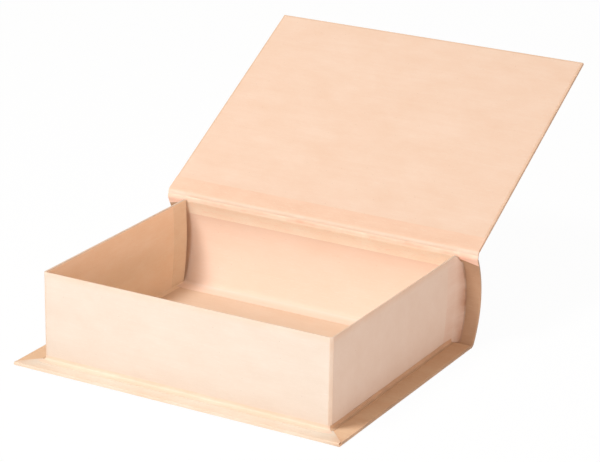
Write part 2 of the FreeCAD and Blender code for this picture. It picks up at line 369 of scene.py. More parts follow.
@dataclass(frozen=True)
class Laminate(Finish):
    """White laminate of a table, pressed with a faint tooth: even, dull and nearly white."""

    tone: str
    glow: float  # share that shows as plain white, so that a shadow on it is faint
    tooth: Pattern = Pattern(2.0, 2.0, 2.0, 0.5)
    roughness: Mark = Mark(0.0, 1.0, 0.9, 0.75)
    gloss: float = 0.1

    def surface(self, tree: Tree, place: Socket) -> dict[str, object]:
        """Draw the laminate's tooth as roughness.

        Args:
            tree: node tree to add to.
            place: coordinates in metres.

        Returns:
            Inputs of the shader.
        """
        tooth = self.tooth.draw(tree, place, Grain.ALONG_SPINE)
        rough = add(tree, "ShaderNodeMapRange", self.roughness.ranges(tooth)).outputs[0]
        return {"Base Color": linear(self.tone), "Roughness": rough,
                "Specular IOR Level": self.gloss}

    def shown(self, tree: Tree, shader: Socket) -> Socket:
        """Let the table show as nearly plain white, and light the box as a real one does.

        Args:
            tree: node tree to add to.
            shader: the laminate itself.

        Returns:
            The mixed shader.
        """
        plain = add(tree, "ShaderNodeEmission", {"Color": WHITE, "Strength": 1.0}).outputs[0]
        share = add(tree, "ShaderNodeMath", {
            0: seen_directly(tree), 1: self.glow}, operation="MULTIPLY").outputs[0]
        return add(tree, "ShaderNodeMixShader", {0: share, 1: shader, 2: plain}).outputs[0]


GREY_EDGE = "#A79481"  # board that shows where an edge is rubbed through
TAPE_CLOUDS = Pattern(22.0, 11.0, 4.0, 0.6)  # a tape's pulp is finer than a sheet's

# sheet under the base: brown, darkened in part as painted shade for its ledge beside the right wall, with
# grey board along its rubbed ends
COVER_PAPER = KraftPaper(
    "kraft_cover_paper", "#DCBA99", "#D3A987", "#E1CAAC", wear_or_shade=GREY_EDGE)
# sheet round the spine: the brownest, darkened in part as painted shade for the spine's ends beside the
# walls, with grey board at its rubbed ends
CASE_PAPER = KraftPaper(
    "kraft_spine_cover_paper", "#D6AD8D", "#CA9D79", "#DDBC9D", wear_or_shade=GREY_EDGE)
# sheet outside the lid: paler than the spine's, with a thin grey line at its rubbed ends
LID_COVER_PAPER = KraftPaper(
    "kraft_lid_cover_paper", "#E2C4AC", "#D9B597", "#E8D2BE", wear_or_shade=GREY_EDGE)
# front fold of the base: faded by light, browned at its corners
TURN_IN_PAPER = KraftPaper(
    "kraft_turn_in_paper", "#DFD5C7", "#DAC9B6", "#E1DBCF", wear_or_shade="#DCB89B")
# fold pasted down at the spine's ends: its dark tone is painted shade for the spine's inside beyond the
# walls
SHADE_PAINTED_PAPER = KraftPaper("shade_painted_kraft_paper", "#C19D80", "#B58D70", "#C9AD91")
# strip round the walls: faded by light, warmer where the rim and corners are rubbed; on the rim the warm
# tone is partly painted shade that dulls the light it catches
WRAP_PAPER = KraftPaper("kraft_wrap_paper", "#DED0C3", "#D9C8B9", "#E2D7CD", wear_or_shade="#DCBDA3")
# lining of the lid: an even pinkish buff
LID_PAPER = KraftPaper("kraft_lid_paper", "#E5CAB6", "#E0BFA7", "#E5D2C1")
# lining of the floor: an even buff, a little yellower than the lid's
FLOOR_PAPER = KraftPaper("kraft_floor_paper", "#E6CCB5", "#E1C1A5", "#E6D4BE")
# lining of the spine and its lower strip: pale and pink, as painted light, since lamp light hardly reaches
# it
SPINE_PAPER = KraftPaper("kraft_spine_paper", "#F4DBCA", "#F1D5C1", "#F6E3D7")
# linings of the walls: pale and yellow, as painted light in the shade inside the walls, with fibres that run
# from front to rear
SIDE_PAPER = KraftPaper(
    "kraft_side_paper", "#FAE2CA", "#F2D3B3", "#FBEDD8", grain=Grain.ALONG_DEPTH)
# gummed tape: smoother to the eye, with smaller clouds
TAPE_PAPER = KraftPaper(
    "gummed_kraft_tape", "#E7C5AD", "#E0B99F", "#E8D6C5", clouds=TAPE_CLOUDS)
# the same tape over the spine's crease: pale as painted light on its shaded leaf, pink where the crease has
# rubbed it, which keeps that painted light off the lit crease
LIGHT_PAINTED_TAPE = KraftPaper(
    "gummed_tape_painted_light", "#FDF0DF", "#FBE3CD", "#F9C4AD", clouds=TAPE_CLOUDS)
# gussets: greyish, with painted shade that browns them towards the spine
GUSSET_PAPER = KraftPaper(
    "kraft_gusset_paper", "#DECEC1", "#D7C0AF", "#E1D5C8", wear_or_shade="#B48D74",
    grain=Grain.ALONG_DEPTH)
# inside leaves of the gussets: as the walls' linings, a shade darker
LEAF_PAPER = KraftPaper(
    "kraft_leaf_paper", "#F0DCC4", "#E6CAAC", "#F3E5D2", grain=Grain.ALONG_DEPTH)
# boards under the paper: grey-brown, flecked
GREYBOARD = PulpBoard("pressed_greyboard", "#A79A8C", "#7F7468")
CARD = PulpBoard("pressed_pulp_card", "#B3A08C", "#8A7765")


@dataclass(frozen=True)
class BoxSizes:
    """Sizes that the whole box shares, in millimetres and degrees."""

    length: float = 250.0
    base_depth: float = 188.0
    ledge: float = 15.0
    wall_height: float = 63.0
    lid_overhang: float = 2.0
    cover_board: float = 1.5
    card: float = 1.0
    paper: float = 0.3
    spine_bulge: float = 7.5
    lower_crease_rise: float = 2.9
    gutter_width: float = 5.0
    gutter_slope: float = 30.0
    crease_gap: float = 0.6
    crease_reach: float = 1.0  # half the paper that bends at a crease
    hinge_leaf: float = 12.0
    strip_lap: float = 1.5  # lining's edge under a pasted strip
    end_skin: float = 0.06  # cases beyond the boards' ends
    strip_setback: float = 0.1  # hinge strip's ends from the boards' ends
    lid_clearance: float = 0.3
    lid_open_angle: float = 29.5
    grid: float = 5.0  # spacing of mesh rows on broad sheets

    @property
    def slab(self) -> float:
        """Thickness of the papered base and lid."""
        return self.cover_board + 2 * self.paper

    @property
    def wall(self) -> float:
        """Thickness of a papered tray wall."""
        return self.card + 2 * self.paper

    @property
    def wall_rows(self) -> int:
        """Mesh rows up a wall."""
        return round(self.wall_height / self.grid)

    @property
    def half(self) -> float:
        """Half the box's length."""
        return self.length / 2

    @property
    def front(self) -> float:
        """Front edge of the base."""
        return -self.base_depth / 2

    @property
    def rear(self) -> float:
        """Rear edge of the base."""
        return self.base_depth / 2

    @property
    def tray_half(self) -> float:
        """Outside of an end wall."""
        return self.half - self.ledge

    @property
    def tray_front(self) -> float:
        """Outside of the front wall."""
        return self.front + self.ledge

    @property
    def wall_top(self) -> float:
        """Rim of the tray."""
        return self.slab + self.wall_height

    @property
    def lid_depth(self) -> float:
        """Lid from its hinge edge to its front edge."""
        return self.base_depth + self.lid_overhang

    @property
    def spine_crease(self) -> Vector:
        """Crease at the top of the spine.

        Returns:
            The point.
        """
        slope = math.radians(self.gutter_slope)
        shut_lid = yz(
            self.rear + self.crease_gap, self.wall_top + self.lid_clearance + self.slab / 2)
        return shut_lid + yz(math.cos(slope), -math.sin(slope)) * self.gutter_width

    @property
    def gutter_lean(self) -> float:
        """Direction of the open gutter above the horizontal, in radians."""
        fold = (180 - self.lid_open_angle) / 2
        return math.radians(180 - self.gutter_slope - fold)

    @property
    def lid_crease(self) -> Vector:
        """Crease at the edge of the open lid."""
        lean = self.gutter_lean
        return self.spine_crease + yz(math.cos(lean), math.sin(lean)) * self.gutter_width

    @property
    def spine_half_chord(self) -> float:
        """Half the height between the spine's two creases."""
        return (self.spine_crease.z - self.slab - self.lower_crease_rise) / 2

    @property
    def spine_radius(self) -> float:
        """Radius of the middle of the spine's card."""
        return (self.spine_half_chord**2 + self.spine_bulge**2) / (2 * self.spine_bulge)

    @property
    def spine_centre(self) -> Vector:
        """Centre of the spine's round."""
        crease = self.spine_crease
        return yz(crease.y + self.spine_bulge - self.spine_radius, crease.z - self.spine_half_chord)

    @property
    def crease_turn(self) -> float:
        """Angle of the spine's upper crease seen from its centre, in radians."""
        return math.asin(self.spine_half_chord / self.spine_radius)

    @property
    def spine_end(self) -> float:
        """Angle of the spine card's ends seen from its centre, in radians."""
        return self.crease_turn - self.crease_gap / self.spine_radius

    def spine_way(self, point: Vector) -> float:
        """Distance of a point below the upper crease, measured round the spine."""
        arm = yz(point.y, point.z) - self.spine_centre
        return (self.crease_turn - math.atan2(arm.z, arm.y)) * self.spine_radius

    def spine_degrees(self, way: float) -> float:
        """Turn that a distance round the spine takes, in degrees."""
        return math.degrees(way / self.spine_radius)

    def on_spine(self, back: float, height: float) -> Vector:
        """Point beside the spine.

        Args:
            back: distance down the spine from its upper crease.
            height: distance from the card's middle towards the tray.

        Returns:
            The point.
        """
        turn = self.crease_turn - back / self.spine_radius
        out = yz(math.cos(turn), math.sin(turn))
        return self.spine_centre + out * (self.spine_radius - height)

    def on_gutter(self, along: float, height: float) -> Vector:
        """Point beside the open gutter.

        Args:
            along: distance from the spine's crease towards the lid's.
            height: distance from the gutter's middle towards the inside.

        Returns:
            The point.
        """
        run = yz(math.cos(self.gutter_lean), math.sin(self.gutter_lean))
        return self.spine_crease + run * along + yz(-run.z, run.y) * height

    def on_lid(self, along: float, height: float) -> Vector:
        """Point beside the open lid.

        Args:
            along: distance from the lid's crease towards its front edge.
            height: distance from the lid's middle towards its inside.

        Returns:
            The point.
        """
        lean = math.radians(self.lid_open_angle)
        run = yz(math.cos(lean), math.sin(lean))
        return self.lid_crease + run * along + yz(-run.z, run.y) * height

    def lower_bend(self, height: float, radius: float) -> tuple[Vector, Vector, Vector, float]:
        """Rounded fold from the base's rear edge up to the spine's lower end.

        Args:
            height: height at which the fold leaves the base.
            radius: radius of the spine's surface that it meets.

        Returns:
            Start of the round, its centre, the spine's lower end, and the turn in degrees.
        """
        start = yz(self.rear, height)
        end = self.spine_centre + yz(math.cos(self.spine_end), -math.sin(self.spine_end)) * radius
        rise = yz(math.sin(self.spine_end), math.cos(self.spine_end))
        corner = end - rise * ((end.z - height) / rise.z)
        tangent = min((corner - start).length, (end - corner).length)
        turn = math.pi / 2 - self.spine_end
        round_start = corner - Y_AXIS * tangent
        centre = round_start + Z_AXIS * (tangent / math.tan(turn / 2))
        return round_start, centre, end, math.degrees(turn)

    def lid_matrix(self) -> Matrix:
        """Placement on the lid of a flat sheet, drawn with Y from the crease and Z inwards."""
        lean = math.radians(self.lid_open_angle)
        return Matrix.Translation(self.lid_crease) @ Matrix.Rotation(lean, 4, "X")


SIZES = BoxSizes()


def spots(place: Callable[[float, float], Vector], profile: Profile) -> list[Vector]:
    """Points of a profile, set beside the spine, the gutter or the lid."""
    return [place(*spot) for spot in profile]


def new_mesh() -> BMesh:
    """Empty mesh with the attribute for scuffing and painted shade."""
    bm = bmesh.new()
    bm.verts.layers.float.new(WEAR_AND_SHADE)
    return bm


def only(kind: type, geometry: Sequence) -> list:
    """Elements of one kind out of an operator's mixed result."""
    return [element for element in geometry if isinstance(element, kind)]


def whole(bm: BMesh) -> list:
    """Every element of a mesh."""
    return [*bm.verts, *bm.edges, *bm.faces]


def open_edges(bm: BMesh) -> Edges:
    """Edges that bound a hole."""
    return [edge for edge in bm.edges if edge.is_boundary]


def about_z(degrees: float) -> Matrix:
    """Turn about the upright axis."""
    return Matrix.Rotation(math.radians(degrees), 3, "Z")


def carry(
    bm: BMesh, geometry: list, steps: int, step: Vector = ORIGIN, centre: Vector = ORIGIN,
    axis: Vector = X_AXIS, degrees: float = 0.0
) -> list:
    """Draw vertices or edges along a straight line or round a centre.

    Args:
        bm: mesh to work in.
        geometry: what is carried along.
        steps: rows to make.
        step: way from row to row.
        centre: point on the axis.
        axis: direction of the axis.
        degrees: whole turn about it.

    Returns:
        What stands at the far end.
    """
    made = bmesh.ops.spin(
        bm, geom=geometry, cent=centre, axis=axis, dvec=step, angle=math.radians(degrees),
        steps=steps)
    return made["geom_last"]


def sweep(bm: BMesh, edges: Edges, travel: Vector, steps: int) -> Edges:
    """Draw a row of edges along a straight line and give the edges at its far end."""
    return only(bmesh.types.BMEdge, carry(bm, edges, steps, step=travel / steps))


def swing(
    bm: BMesh, edges: Edges, centre: Vector, degrees: float, steps: int
) -> Edges:
    """Draw a row of edges round an upright axis and give the edges at its far end."""
    return only(bmesh.types.BMEdge, carry(
        bm, edges, steps, centre=centre, axis=Z_AXIS, degrees=degrees))


class Outline:
    """Outline drawn with one moving vertex, in straight runs and arcs."""

    def __init__(self, bm: BMesh, start: Vector) -> None:
        """Set the first vertex.

        Args:
            bm: mesh to draw in.
            start: where the outline begins.
        """
        self.bm = bm
        self.first = bm.verts.new(start)
        self.tip = self.first
        self.edges: Edges = []

    def _move(self, steps: int, **way: object) -> "Outline":
        """Carry the last vertex on and keep the edges that it leaves.

        Args:
            steps: edges on the way.
            way: a step, or a centre, an axis and degrees.

        Returns:
            This outline.
        """
        before = set(self.bm.edges)
        end = carry(self.bm, [self.tip], steps, **way)
        self.edges += [edge for edge in self.bm.edges if edge not in before]
        self.tip = only(bmesh.types.BMVert, end)[0]
        return self

    def line(self, end: Vector, steps: int = 1) -> "Outline":
        """Go straight to a point."""
        return self._move(steps, step=(end - self.tip.co) / steps)

    def lines(self, *points: Vector) -> "Outline":
        """Go straight from point to point.

        Args:
            points: where to go.

        Returns:
            This outline.
        """
        for point in points:
            self.line(point)
        return self

    def arc(self, centre: Vector, degrees: float, steps: int, axis: Vector = X_AXIS) -> "Outline":
        """Go round a centre."""
        return self._move(steps, centre=centre, axis=axis, degrees=degrees)

    def close(self) -> Edges:
        """Join the last vertex to the first and give all the outline's edges."""
        self.edges.append(self.bm.edges.new((self.tip, self.first)))
        return self.edges


END_STEPS = ((0.3, 0.65), (0.7, 0.35))  # shares of an end's rounding, drawn in and drawn out


def cap_ends(bm: BMesh, soften: float = 0.0) -> None:
    """Close a swept outline's two ends.

    Args:
        bm: mesh of the open sweep.
        soften: how far each end is drawn out into a rounded edge.
    """
    caps = bmesh.ops.holes_fill(bm, edges=open_edges(bm), sides=0)["faces"]
    bmesh.ops.recalc_face_normals(bm, faces=bm.faces)
    for inset, rise in END_STEPS if soften else ():
        bmesh.ops.inset_region(
            bm, faces=caps, thickness=soften * inset, depth=soften * rise, use_even_offset=True)


def long_prism(bm: BMesh, edges: Edges, half: float, soften: float = 0.0) -> None:
    """Carry an outline along the box, the same to both ends.

    Args:
        bm: mesh that holds the outline at X = 0.
        edges: the outline.
        half: half the finished length.
        soften: rounding of the two ends.
    """
    start = -half + soften
    bmesh.ops.translate(bm, verts=bm.verts, vec=X_AXIS * start)
    sweep(bm, edges, X_AXIS * (-2 * start), round(2 * half / SIZES.grid))
    cap_ends(bm, soften)


def cut_rows(bm: BMesh, axis: Vector, positions: Sequence[float]) -> None:
    """Cut a mesh across an axis, so that it can bend and wear there.

    Args:
        bm: mesh to cut.
        axis: direction that the cuts stand across.
        positions: where along the axis to cut.
    """
    for position in positions:
        bmesh.ops.bisect_plane(
            bm, geom=whole(bm), dist=TINY, plane_co=axis * position, plane_no=axis)


def spread(low: float, high: float, spacing: float) -> list[float]:
    """Even positions inside a span, about a spacing apart."""
    count = max(1, round((high - low) / spacing))
    return [low + (high - low) * i / count for i in range(1, count)]


def slab_mesh(half: float, y_span: tuple[float, float], z_span: tuple[float, float]) -> BMesh:
    """Flat sheet or board, cut into a grid.

    Args:
        half: half its size on X.
        y_span: its limits on Y.
        z_span: its limits on Z.

    Returns:
        The mesh.
    """
    bm = new_mesh()
    middle = Vector((0, sum(y_span) / 2, sum(z_span) / 2))
    size = Matrix.Diagonal((2 * half, y_span[1] - y_span[0], z_span[1] - z_span[0], 1))
    bmesh.ops.create_cube(bm, size=1.0, matrix=Matrix.Translation(middle) @ size)
    cut_rows(bm, X_AXIS, spread(-half, half, SIZES.grid))
    cut_rows(bm, Y_AXIS, spread(*y_span, SIZES.grid))
    return bm


def cockle(bm: BMesh, lift: Vector, wave: float, seed: float) -> None:
    """Let paper dry a little uneven.

    Args:
        bm: mesh to move.
        lift: direction and size of the largest move, in millimetres.
        wave: usual distance between two swellings.
        seed: place in the noise, one for each sheet.
    """
    shift = Vector((seed, seed * 0.37, -seed * 0.61))
    for vert in bm.verts:
        vert.co += lift * noise.noise(vert.co / wave + shift)


def hand_cut(bm: BMesh, amount: Vector, wave: float, seed: float) -> None:
    """Let a sheet's cut edges run a little out of true.

    Args:
        bm: mesh to move.
        amount: largest move on each axis, in millimetres.
        wave: usual distance between two faults.
        seed: place in the noise, one for each sheet.
    """
    shift = Vector((-seed * 0.53, seed, seed * 0.29))
    for vert in bm.verts:
        push = noise.noise_vector(vert.co / wave + shift)
        vert.co += Vector([a * b for a, b in zip(amount, push)])


def scuff(bm: BMesh, rub: Callable[[Vector], float]) -> None:
    """Mark where a mesh is rubbed, or where shade is painted on it.

    Args:
        bm: mesh to mark.
        rub: gives 0 to 1 for a point in millimetres.
    """
    layer = bm.verts.layers.float[WEAR_AND_SHADE]
    for vert in bm.verts:
        vert[layer] = min(1.0, max(0.0, rub(vert.co)))


END_ROW = 1.0  # mesh row beside a case's end, which keeps the wear there narrow


def wear_ends(bm: BMesh, wear: float, fade: float) -> None:
    """Rub the two ends of a case.

    Args:
        bm: mesh of the case.
        wear: wear at the very end, 0 to 1.
        fade: loss of wear for each millimetre from the end.
    """
    cut_rows(bm, X_AXIS, [side * (SIZES.half - END_ROW) for _, side in HANDS])
    scuff(bm, lambda point: wear - fade * (SIZES.half - abs(point.x)))


def piece(
    bm: BMesh, name: str, finish: Finish, nodes: Sequence[str]
) -> bpy.types.Object:
    """Turn a mesh in millimetres into a finished piece in metres.

    Args:
        bm: mesh to use up.
        name: name of the piece.
        finish: its paper.
        nodes: solids that it stands for.

    Returns:
        The new object, at the origin.
    """
    bmesh.ops.remove_doubles(bm, verts=bm.verts, dist=TINY)
    bmesh.ops.recalc_face_normals(bm, faces=bm.faces)
    for face in bm.faces:
        face.smooth = True
    for edge in bm.edges:
        edge.smooth = edge.calc_face_angle(0.0) < SHARP
    bmesh.ops.scale(bm, verts=bm.verts, vec=(MM, MM, MM))
    mesh = bpy.data.meshes.new(name)
    bm.to_mesh(mesh)
    bm.free()
    mesh.materials.append(finish.material())
    made = bpy.data.objects.new(name, mesh)
    bpy.context.scene.collection.objects.link(made)
    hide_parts(*nodes)
    return made


# hinge strip across the gutter: distance from the spine's crease, and height over its middle
GUTTER_PROFILE = (
    (0.0, 0.7), (0.5, 0.78), (1.0, 0.87), (1.5, 0.9), (2.0, 0.84), (2.5, 0.72),
    (3.0, 0.84), (3.5, 0.98), (4.0, 1.05), (4.5, 1.03), (5.0, 0.95))
GUTTER_SEAM = 5  # step of the profile where the strip's two pieces meet
GUTTER_FADE = 0.3  # scuffing ends this far inside the creases

# lumps of paste under the hinge strip, and dents where the walls' corners press into it when the
# box is shut: place on X, distance along the gutter, radius and height
WALL_MIDDLE = SIZES.tray_half - SIZES.wall / 2
LUMPS = (
    (-14.0, 3.6, 4.5, 0.55), (70.0, 3.7, 3.2, 0.6),
    (-WALL_MIDDLE, 3.7, 3.0, -0.5), (WALL_MIDDLE, 3.7, 3.0, -0.5))
LUMP_ROWS = (-1, -0.6, -0.3, 0, 0.3, 0.6, 1)  # mesh rows across a lump, in shares of its radius
LUMP_FOOT = 0.9  # height over the gutter's middle from which a lump is measured
LUMP_DEPTH = 0.45  # strip's underside, which a lump doesn't move, lies further below its foot


def gutter_rub(point: Vector) -> float:
    """Scuffing of the hinge strip, which is rubbed all over the gutter.

    Args:
        point: place on the strip.

    Returns:
        Scuffing, 1 at most.
    """
    run = SIZES.on_gutter(1, 0) - SIZES.on_gutter(0, 0)
    along = run.dot(yz(point.y, point.z) - SIZES.spine_crease)
    half = SIZES.gutter_width / 2
    return 1.0 - max(0.0, abs(along - half) - half + GUTTER_FADE)


def swell(bm: BMesh) -> None:
    """Raise the hinge strip over the lumps of paste under it, and press in its dents.

    Args:
        bm: mesh of the strip.
    """
    for x, along, radius, height in LUMPS:
        cut_rows(bm, X_AXIS, [x + radius * share for share in LUMP_ROWS])
        foot = SIZES.on_gutter(along, LUMP_FOOT)
        up = SIZES.on_gutter(along, LUMP_FOOT + 1) - foot
        for vert in bm.verts:
            gap = (vert.co - foot - X_AXIS * x).length / radius
            if gap < 1 and up.dot(vert.co - foot) > -LUMP_DEPTH:
                vert.co += up * height * (1 - gap**2) ** 2


@dataclass
class Base:
    """Base: a greyboard slab in kraft paper, with a ledge round the tray and a lined floor."""

    edge_round: float = 0.55
    edge_steps: int = 3
    edge_rows: tuple[float, ...] = (1.5, 4.0)  # mesh rows beside the edges, which keep wear narrow
    edge_wear: float = 0.8  # wear of the two end edges
    edge_wear_reach: float = 0.45
    edge_wear_start: float = 2.0  # behind the front edge
    turn_in_rise: float = 0.14  # mitred fold above the paper that it laps
    fold_foot: float = 0.25  # front fold's lower edge above the table
    fold_proud: float = 0.12  # front fold before the base's edge
    fold_steps: int = 4
    fold_rows: int = 5
    fold_wear: float = 0.45  # browning along the front fold's edge
    fold_wear_reach: float = 9.0
    corner_wear_start: float = 2.0  # beyond the tray's ends
    corner_wear_reach: float = 12.0
    mitre_lap: float = 2.2
    slit: float = 1.0  # height of the slit under the lifted tip
    slit_half: float = 0.12
    corner_lift: float = 0.8  # tip of the right mitre that has come unstuck
    lift_reach: float = 12.0
    lift_rate: float = 1.6  # how soon towards the tip the lift is full
    lift_rows: float = 1.5  # spacing of the mesh rows at the tip
    floor_rise: float = 0.12

    def build(self) -> list[bpy.types.Object]:
        """Make the base's pieces.

        Returns:
            The new objects.
        """
        pieces = [self.wrap(), self.front_turn_in(), self.floor()]
        for made in pieces:
            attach(made, "box")
        return pieces

    def wrap(self) -> bpy.types.Object:
        """Make the paper round the slab, with soft edges at the front and both ends.

        Returns:
            The new object.
        """
        bm = slab_mesh(SIZES.half, (SIZES.front, SIZES.rear), (0, SIZES.slab))
        cut_rows(bm, Y_AXIS, [SIZES.front + gap for gap in self.edge_rows])
        cut_rows(bm, X_AXIS, [
            side * (SIZES.half - gap) for gap in self.edge_rows for _, side in HANDS])
        edges = [
            edge for edge in bm.edges
            if edge.calc_face_angle(0.0) > SHARP
            and any(vert.co.y < SIZES.rear - TINY for vert in edge.verts)
        ]
        bmesh.ops.bevel(
            bm, geom=edges, offset=self.edge_round, offset_type="OFFSET", affect="EDGES",
            segments=self.edge_steps, profile=0.5, material=-1)
        scuff(bm, self.edge_rub)
        return piece(bm, "base_wrap", COVER_PAPER, ["base_cover_paper"])

    def edge_rub(self, point: Vector) -> float:
        """Wear of the paper, which is rubbed through on the two end edges."""
        on_end = SIZES.half - abs(point.x) < self.edge_wear_reach and point.z > TINY
        return self.edge_wear if on_end and point.y > SIZES.front + self.edge_wear_start else 0.0

    def fold_rub(self, point: Vector) -> float:
        """Wear of the front fold, which browns at both corners and along its edge.

        Args:
            point: place on the fold.

        Returns:
            Wear.
        """
        beyond = abs(point.x) - SIZES.tray_half - self.corner_wear_start
        behind = (point.y - SIZES.front) / self.fold_wear_reach
        return max(beyond / self.corner_wear_reach, self.fold_wear * (1 - behind))

    def front_turn_in(self) -> bpy.types.Object:
        """Make the front fold of the base's paper, which laps the end folds along a mitre.

        Returns:
            The new object.
        """
        bm = new_mesh()
        low, round_ = self.fold_foot, self.edge_round
        top, under = SIZES.slab + self.turn_in_rise, SIZES.slab - SIZES.paper
        front, inside = SIZES.front - self.fold_proud, SIZES.front + SIZES.paper
        rear, end = SIZES.tray_front + SIZES.wall, SIZES.half - SIZES.paper
        edges = (
            Outline(bm, yz(front, low))
            .lines(yz(front, self.slit - self.slit_half), yz(front, self.slit + self.slit_half),
                   yz(front, top - round_))
            .arc(yz(front + round_, top - round_), -90, self.fold_steps)
            .line(yz(rear, top), self.fold_rows)
            .lines(yz(rear, under), yz(inside, under), yz(inside, low))
            .close()
        )
        long_prism(bm, edges, end)
        tip = Vector((end, front, top))
        cut_rows(bm, X_AXIS, [tip.x - gap for gap in spread(0, self.lift_reach, self.lift_rows)])
        for _, side in HANDS:
            corner = Vector((side * (SIZES.half + self.mitre_lap), SIZES.front, 0))
            bmesh.ops.bisect_plane(
                bm, geom=whole(bm), dist=TINY, plane_co=corner, plane_no=(side, 1, 0),
                clear_outer=True)
        bmesh.ops.holes_fill(bm, edges=open_edges(bm), sides=0)
        lift = Vector((0, -self.corner_lift, self.corner_lift))
        for vert in bm.verts:
            if vert.co.z > self.slit:
                share = max(0.0, 1 - (vert.co.xy - tip.xy).length / self.lift_reach)
                vert.co += lift * min(1.0, self.lift_rate * share)
        scuff(bm, self.fold_rub)
        return piece(bm, "base_front_turn_in", TURN_IN_PAPER, [])

    def floor(self) -> bpy.types.Object:
        """Make the lining of the tray's floor.

        Returns:
            The new object.
        """
        half = SIZES.tray_half - SIZES.wall
        span = (SIZES.tray_front + SIZES.wall, SIZES.rear - SIZES.hinge_leaf + SIZES.strip_lap)
        bm = slab_mesh(half, span, (SIZES.slab - SIZES.paper, SIZES.slab + self.floor_rise))
        cockle(bm, lift=Z_AXIS * 0.08, wave=30, seed=3.1)
        return piece(bm, "floor_sheet", FLOOR_PAPER, ["floor_lining"])


@dataclass
class Tray:
    """Tray: three card walls in one kraft strip, lined inside, with folded tape at the foot."""

    corner_radius: float = 2.4
    corner_steps: int = 6
    half_corner: float = 45.0  # degrees of a corner's round to where two tapes meet
    half_corner_steps: int = 4
    rim_round: float = 0.42
    rim_steps: int = 3
    rim_wear: float = 0.7
    rim_wear_fade: float = 0.5  # loss of wear for each millimetre below the rim
    corner_wear: float = 0.55
    wrap_thickness: float = 1.36
    wrap_past: float = 0.12  # strip's rear edge past the card's
    wall_foot_setback: float = 1.5
    wall_top_reach: float = 1.3
    wall_rear_bulge: float = 3.0
    dent: float = 0.34  # how loose the paper stands on the two front corners
    dent_even: float = 0.75  # share of that which is the same all the way up
    dent_spacing: float = 6.0
    tuck: float = 0.05  # back of a sheet inside what it is pasted on
    lining_drop: float = 0.7  # lining's upper edge below the rim
    lining_lap: float = 4.0  # lining's lower edge turned on to the floor
    lining_cove: float = 0.9
    lining_cove_steps: int = 4
    lining_rise: float = 0.24  # lining's turned edge above the base
    lining_corner_lap: float = 0.2  # end lining's front edge in the front lining
    foot_sheet: float = 0.8  # tape's thickness as a share of the paper's
    foot_leg: float = 3.0
    foot_spread: float = 5.5  # reach of the front tape on the ledge
    end_foot_spread: float = 2.2
    foot_cove: float = 1.3
    foot_cove_steps: int = 5
    foot_wear: float = 0.75
    end_foot_wear: float = 0.4
    gusset_sheet: float = 0.7  # gusset's thickness as a share of the paper's
    gusset_rise: tuple[float, float] = (0.12, 0.14)  # above the lining and above the strip
    gusset_flare: float = 3.2
    gusset_drop: float = 5.5
    gusset_inside_leaf: float = 16.0
    gusset_outside_leaf: float = 14.0
    gusset_lap: float = 1.2
    gusset_slant: float = 2.4  # how much further out it is pasted at the foot than at the top
    gusset_rows: int = 16
    gusset_bend_rows: int = 2

    @property
    def corner(self) -> Vector:
        """Centre of the right front corner's round."""
        inset = self.corner_radius
        return Vector((SIZES.tray_half - inset, SIZES.tray_front + inset, 0))

    @property
    def left_corner(self) -> Vector:
        """Centre of the left front corner's round."""
        return Vector((-self.corner.x, self.corner.y, 0))

    def build(self) -> list[bpy.types.Object]:
        """Make the tray's pieces.

        Returns:
            The new objects.
        """
        pieces = [self.walls(), self.front_lining(), self.front_foot()]
        for name, side in HANDS:
            pieces += [self.end_lining(name, side), self.end_foot(name, side)]
            pieces += self.gusset(name, side)
        for made in pieces:
            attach(made, "box")
        return pieces

    def rear_circle(self) -> tuple[Vector, float]:
        """Round that an end wall's rear edge follows.

        Returns:
            Its centre and radius.
        """
        foot = yz(SIZES.rear - self.wall_foot_setback, SIZES.slab)
        top = yz(SIZES.rear + self.wall_top_reach, SIZES.wall_top)
        chord = top - foot
        outward = yz(chord.z, -chord.y).normalized()
        radius = chord.length_squared / (8 * self.wall_rear_bulge) + self.wall_rear_bulge / 2
        return (foot + top) / 2 + outward * (self.wall_rear_bulge - radius), radius

    def rear_edge(self, z: float) -> float:
        """Rear edge of an end wall at a height."""
        centre, radius = self.rear_circle()
        return centre.y + math.sqrt(radius**2 - (z - centre.z) ** 2)

    def bow_rear(self, bm: BMesh, start: float, past: float) -> None:
        """Draw an end wall's sheet out from the base's rear edge to its bowed rear edge.

        Args:
            bm: mesh to move.
            start: where on Y the stretch begins.
            past: how far the sheet reaches past the card.
        """
        for vert in bm.verts:
            if vert.co.y > start:
                share = (vert.co.y - start) / (SIZES.rear - start)
                vert.co.y = start + share * (self.rear_edge(vert.co.z) + past - start)

    def walls(self) -> bpy.types.Object:
        """Make the kraft strip round the three walls, over the rim and down the inside.

        Returns:
            The new object.
        """
        bm = new_mesh()
        outer, foot, top = -SIZES.tray_half, SIZES.slab - SIZES.paper, SIZES.wall_top
        inner, round_, rear = outer + self.wrap_thickness, self.rim_round, SIZES.rear
        edges = (
            Outline(bm, Vector((outer, rear, foot)))
            .line(Vector((outer, rear, top - round_)), SIZES.wall_rows)
            .arc(Vector((outer + round_, rear, top - round_)), 90, self.rim_steps, Y_AXIS)
            .line(Vector((inner - round_, rear, top)))
            .arc(Vector((inner - round_, rear, top - round_)), 90, self.rim_steps, Y_AXIS)
            .line(Vector((inner, rear, foot)), SIZES.wall_rows)
            .close()
        )
        corner = self.corner
        depth, width = rear - corner.y, 2 * corner.x
        edges = sweep(bm, edges, -Y_AXIS * depth, round(depth / SIZES.grid))
        edges = swing(bm, edges, self.left_corner, 90, self.corner_steps)
        edges = sweep(bm, edges, X_AXIS * width, round(width / SIZES.grid))
        edges = swing(bm, edges, corner, 90, self.corner_steps)
        sweep(bm, edges, Y_AXIS * depth, round(depth / SIZES.grid))
        cap_ends(bm)
        self.bow_rear(bm, corner.y, self.wrap_past)
        self.soften_corners(bm)
        scuff(bm, self.wall_rub)
        return piece(bm, "tray_wrap", WRAP_PAPER, ["tray_wrap_paper"])

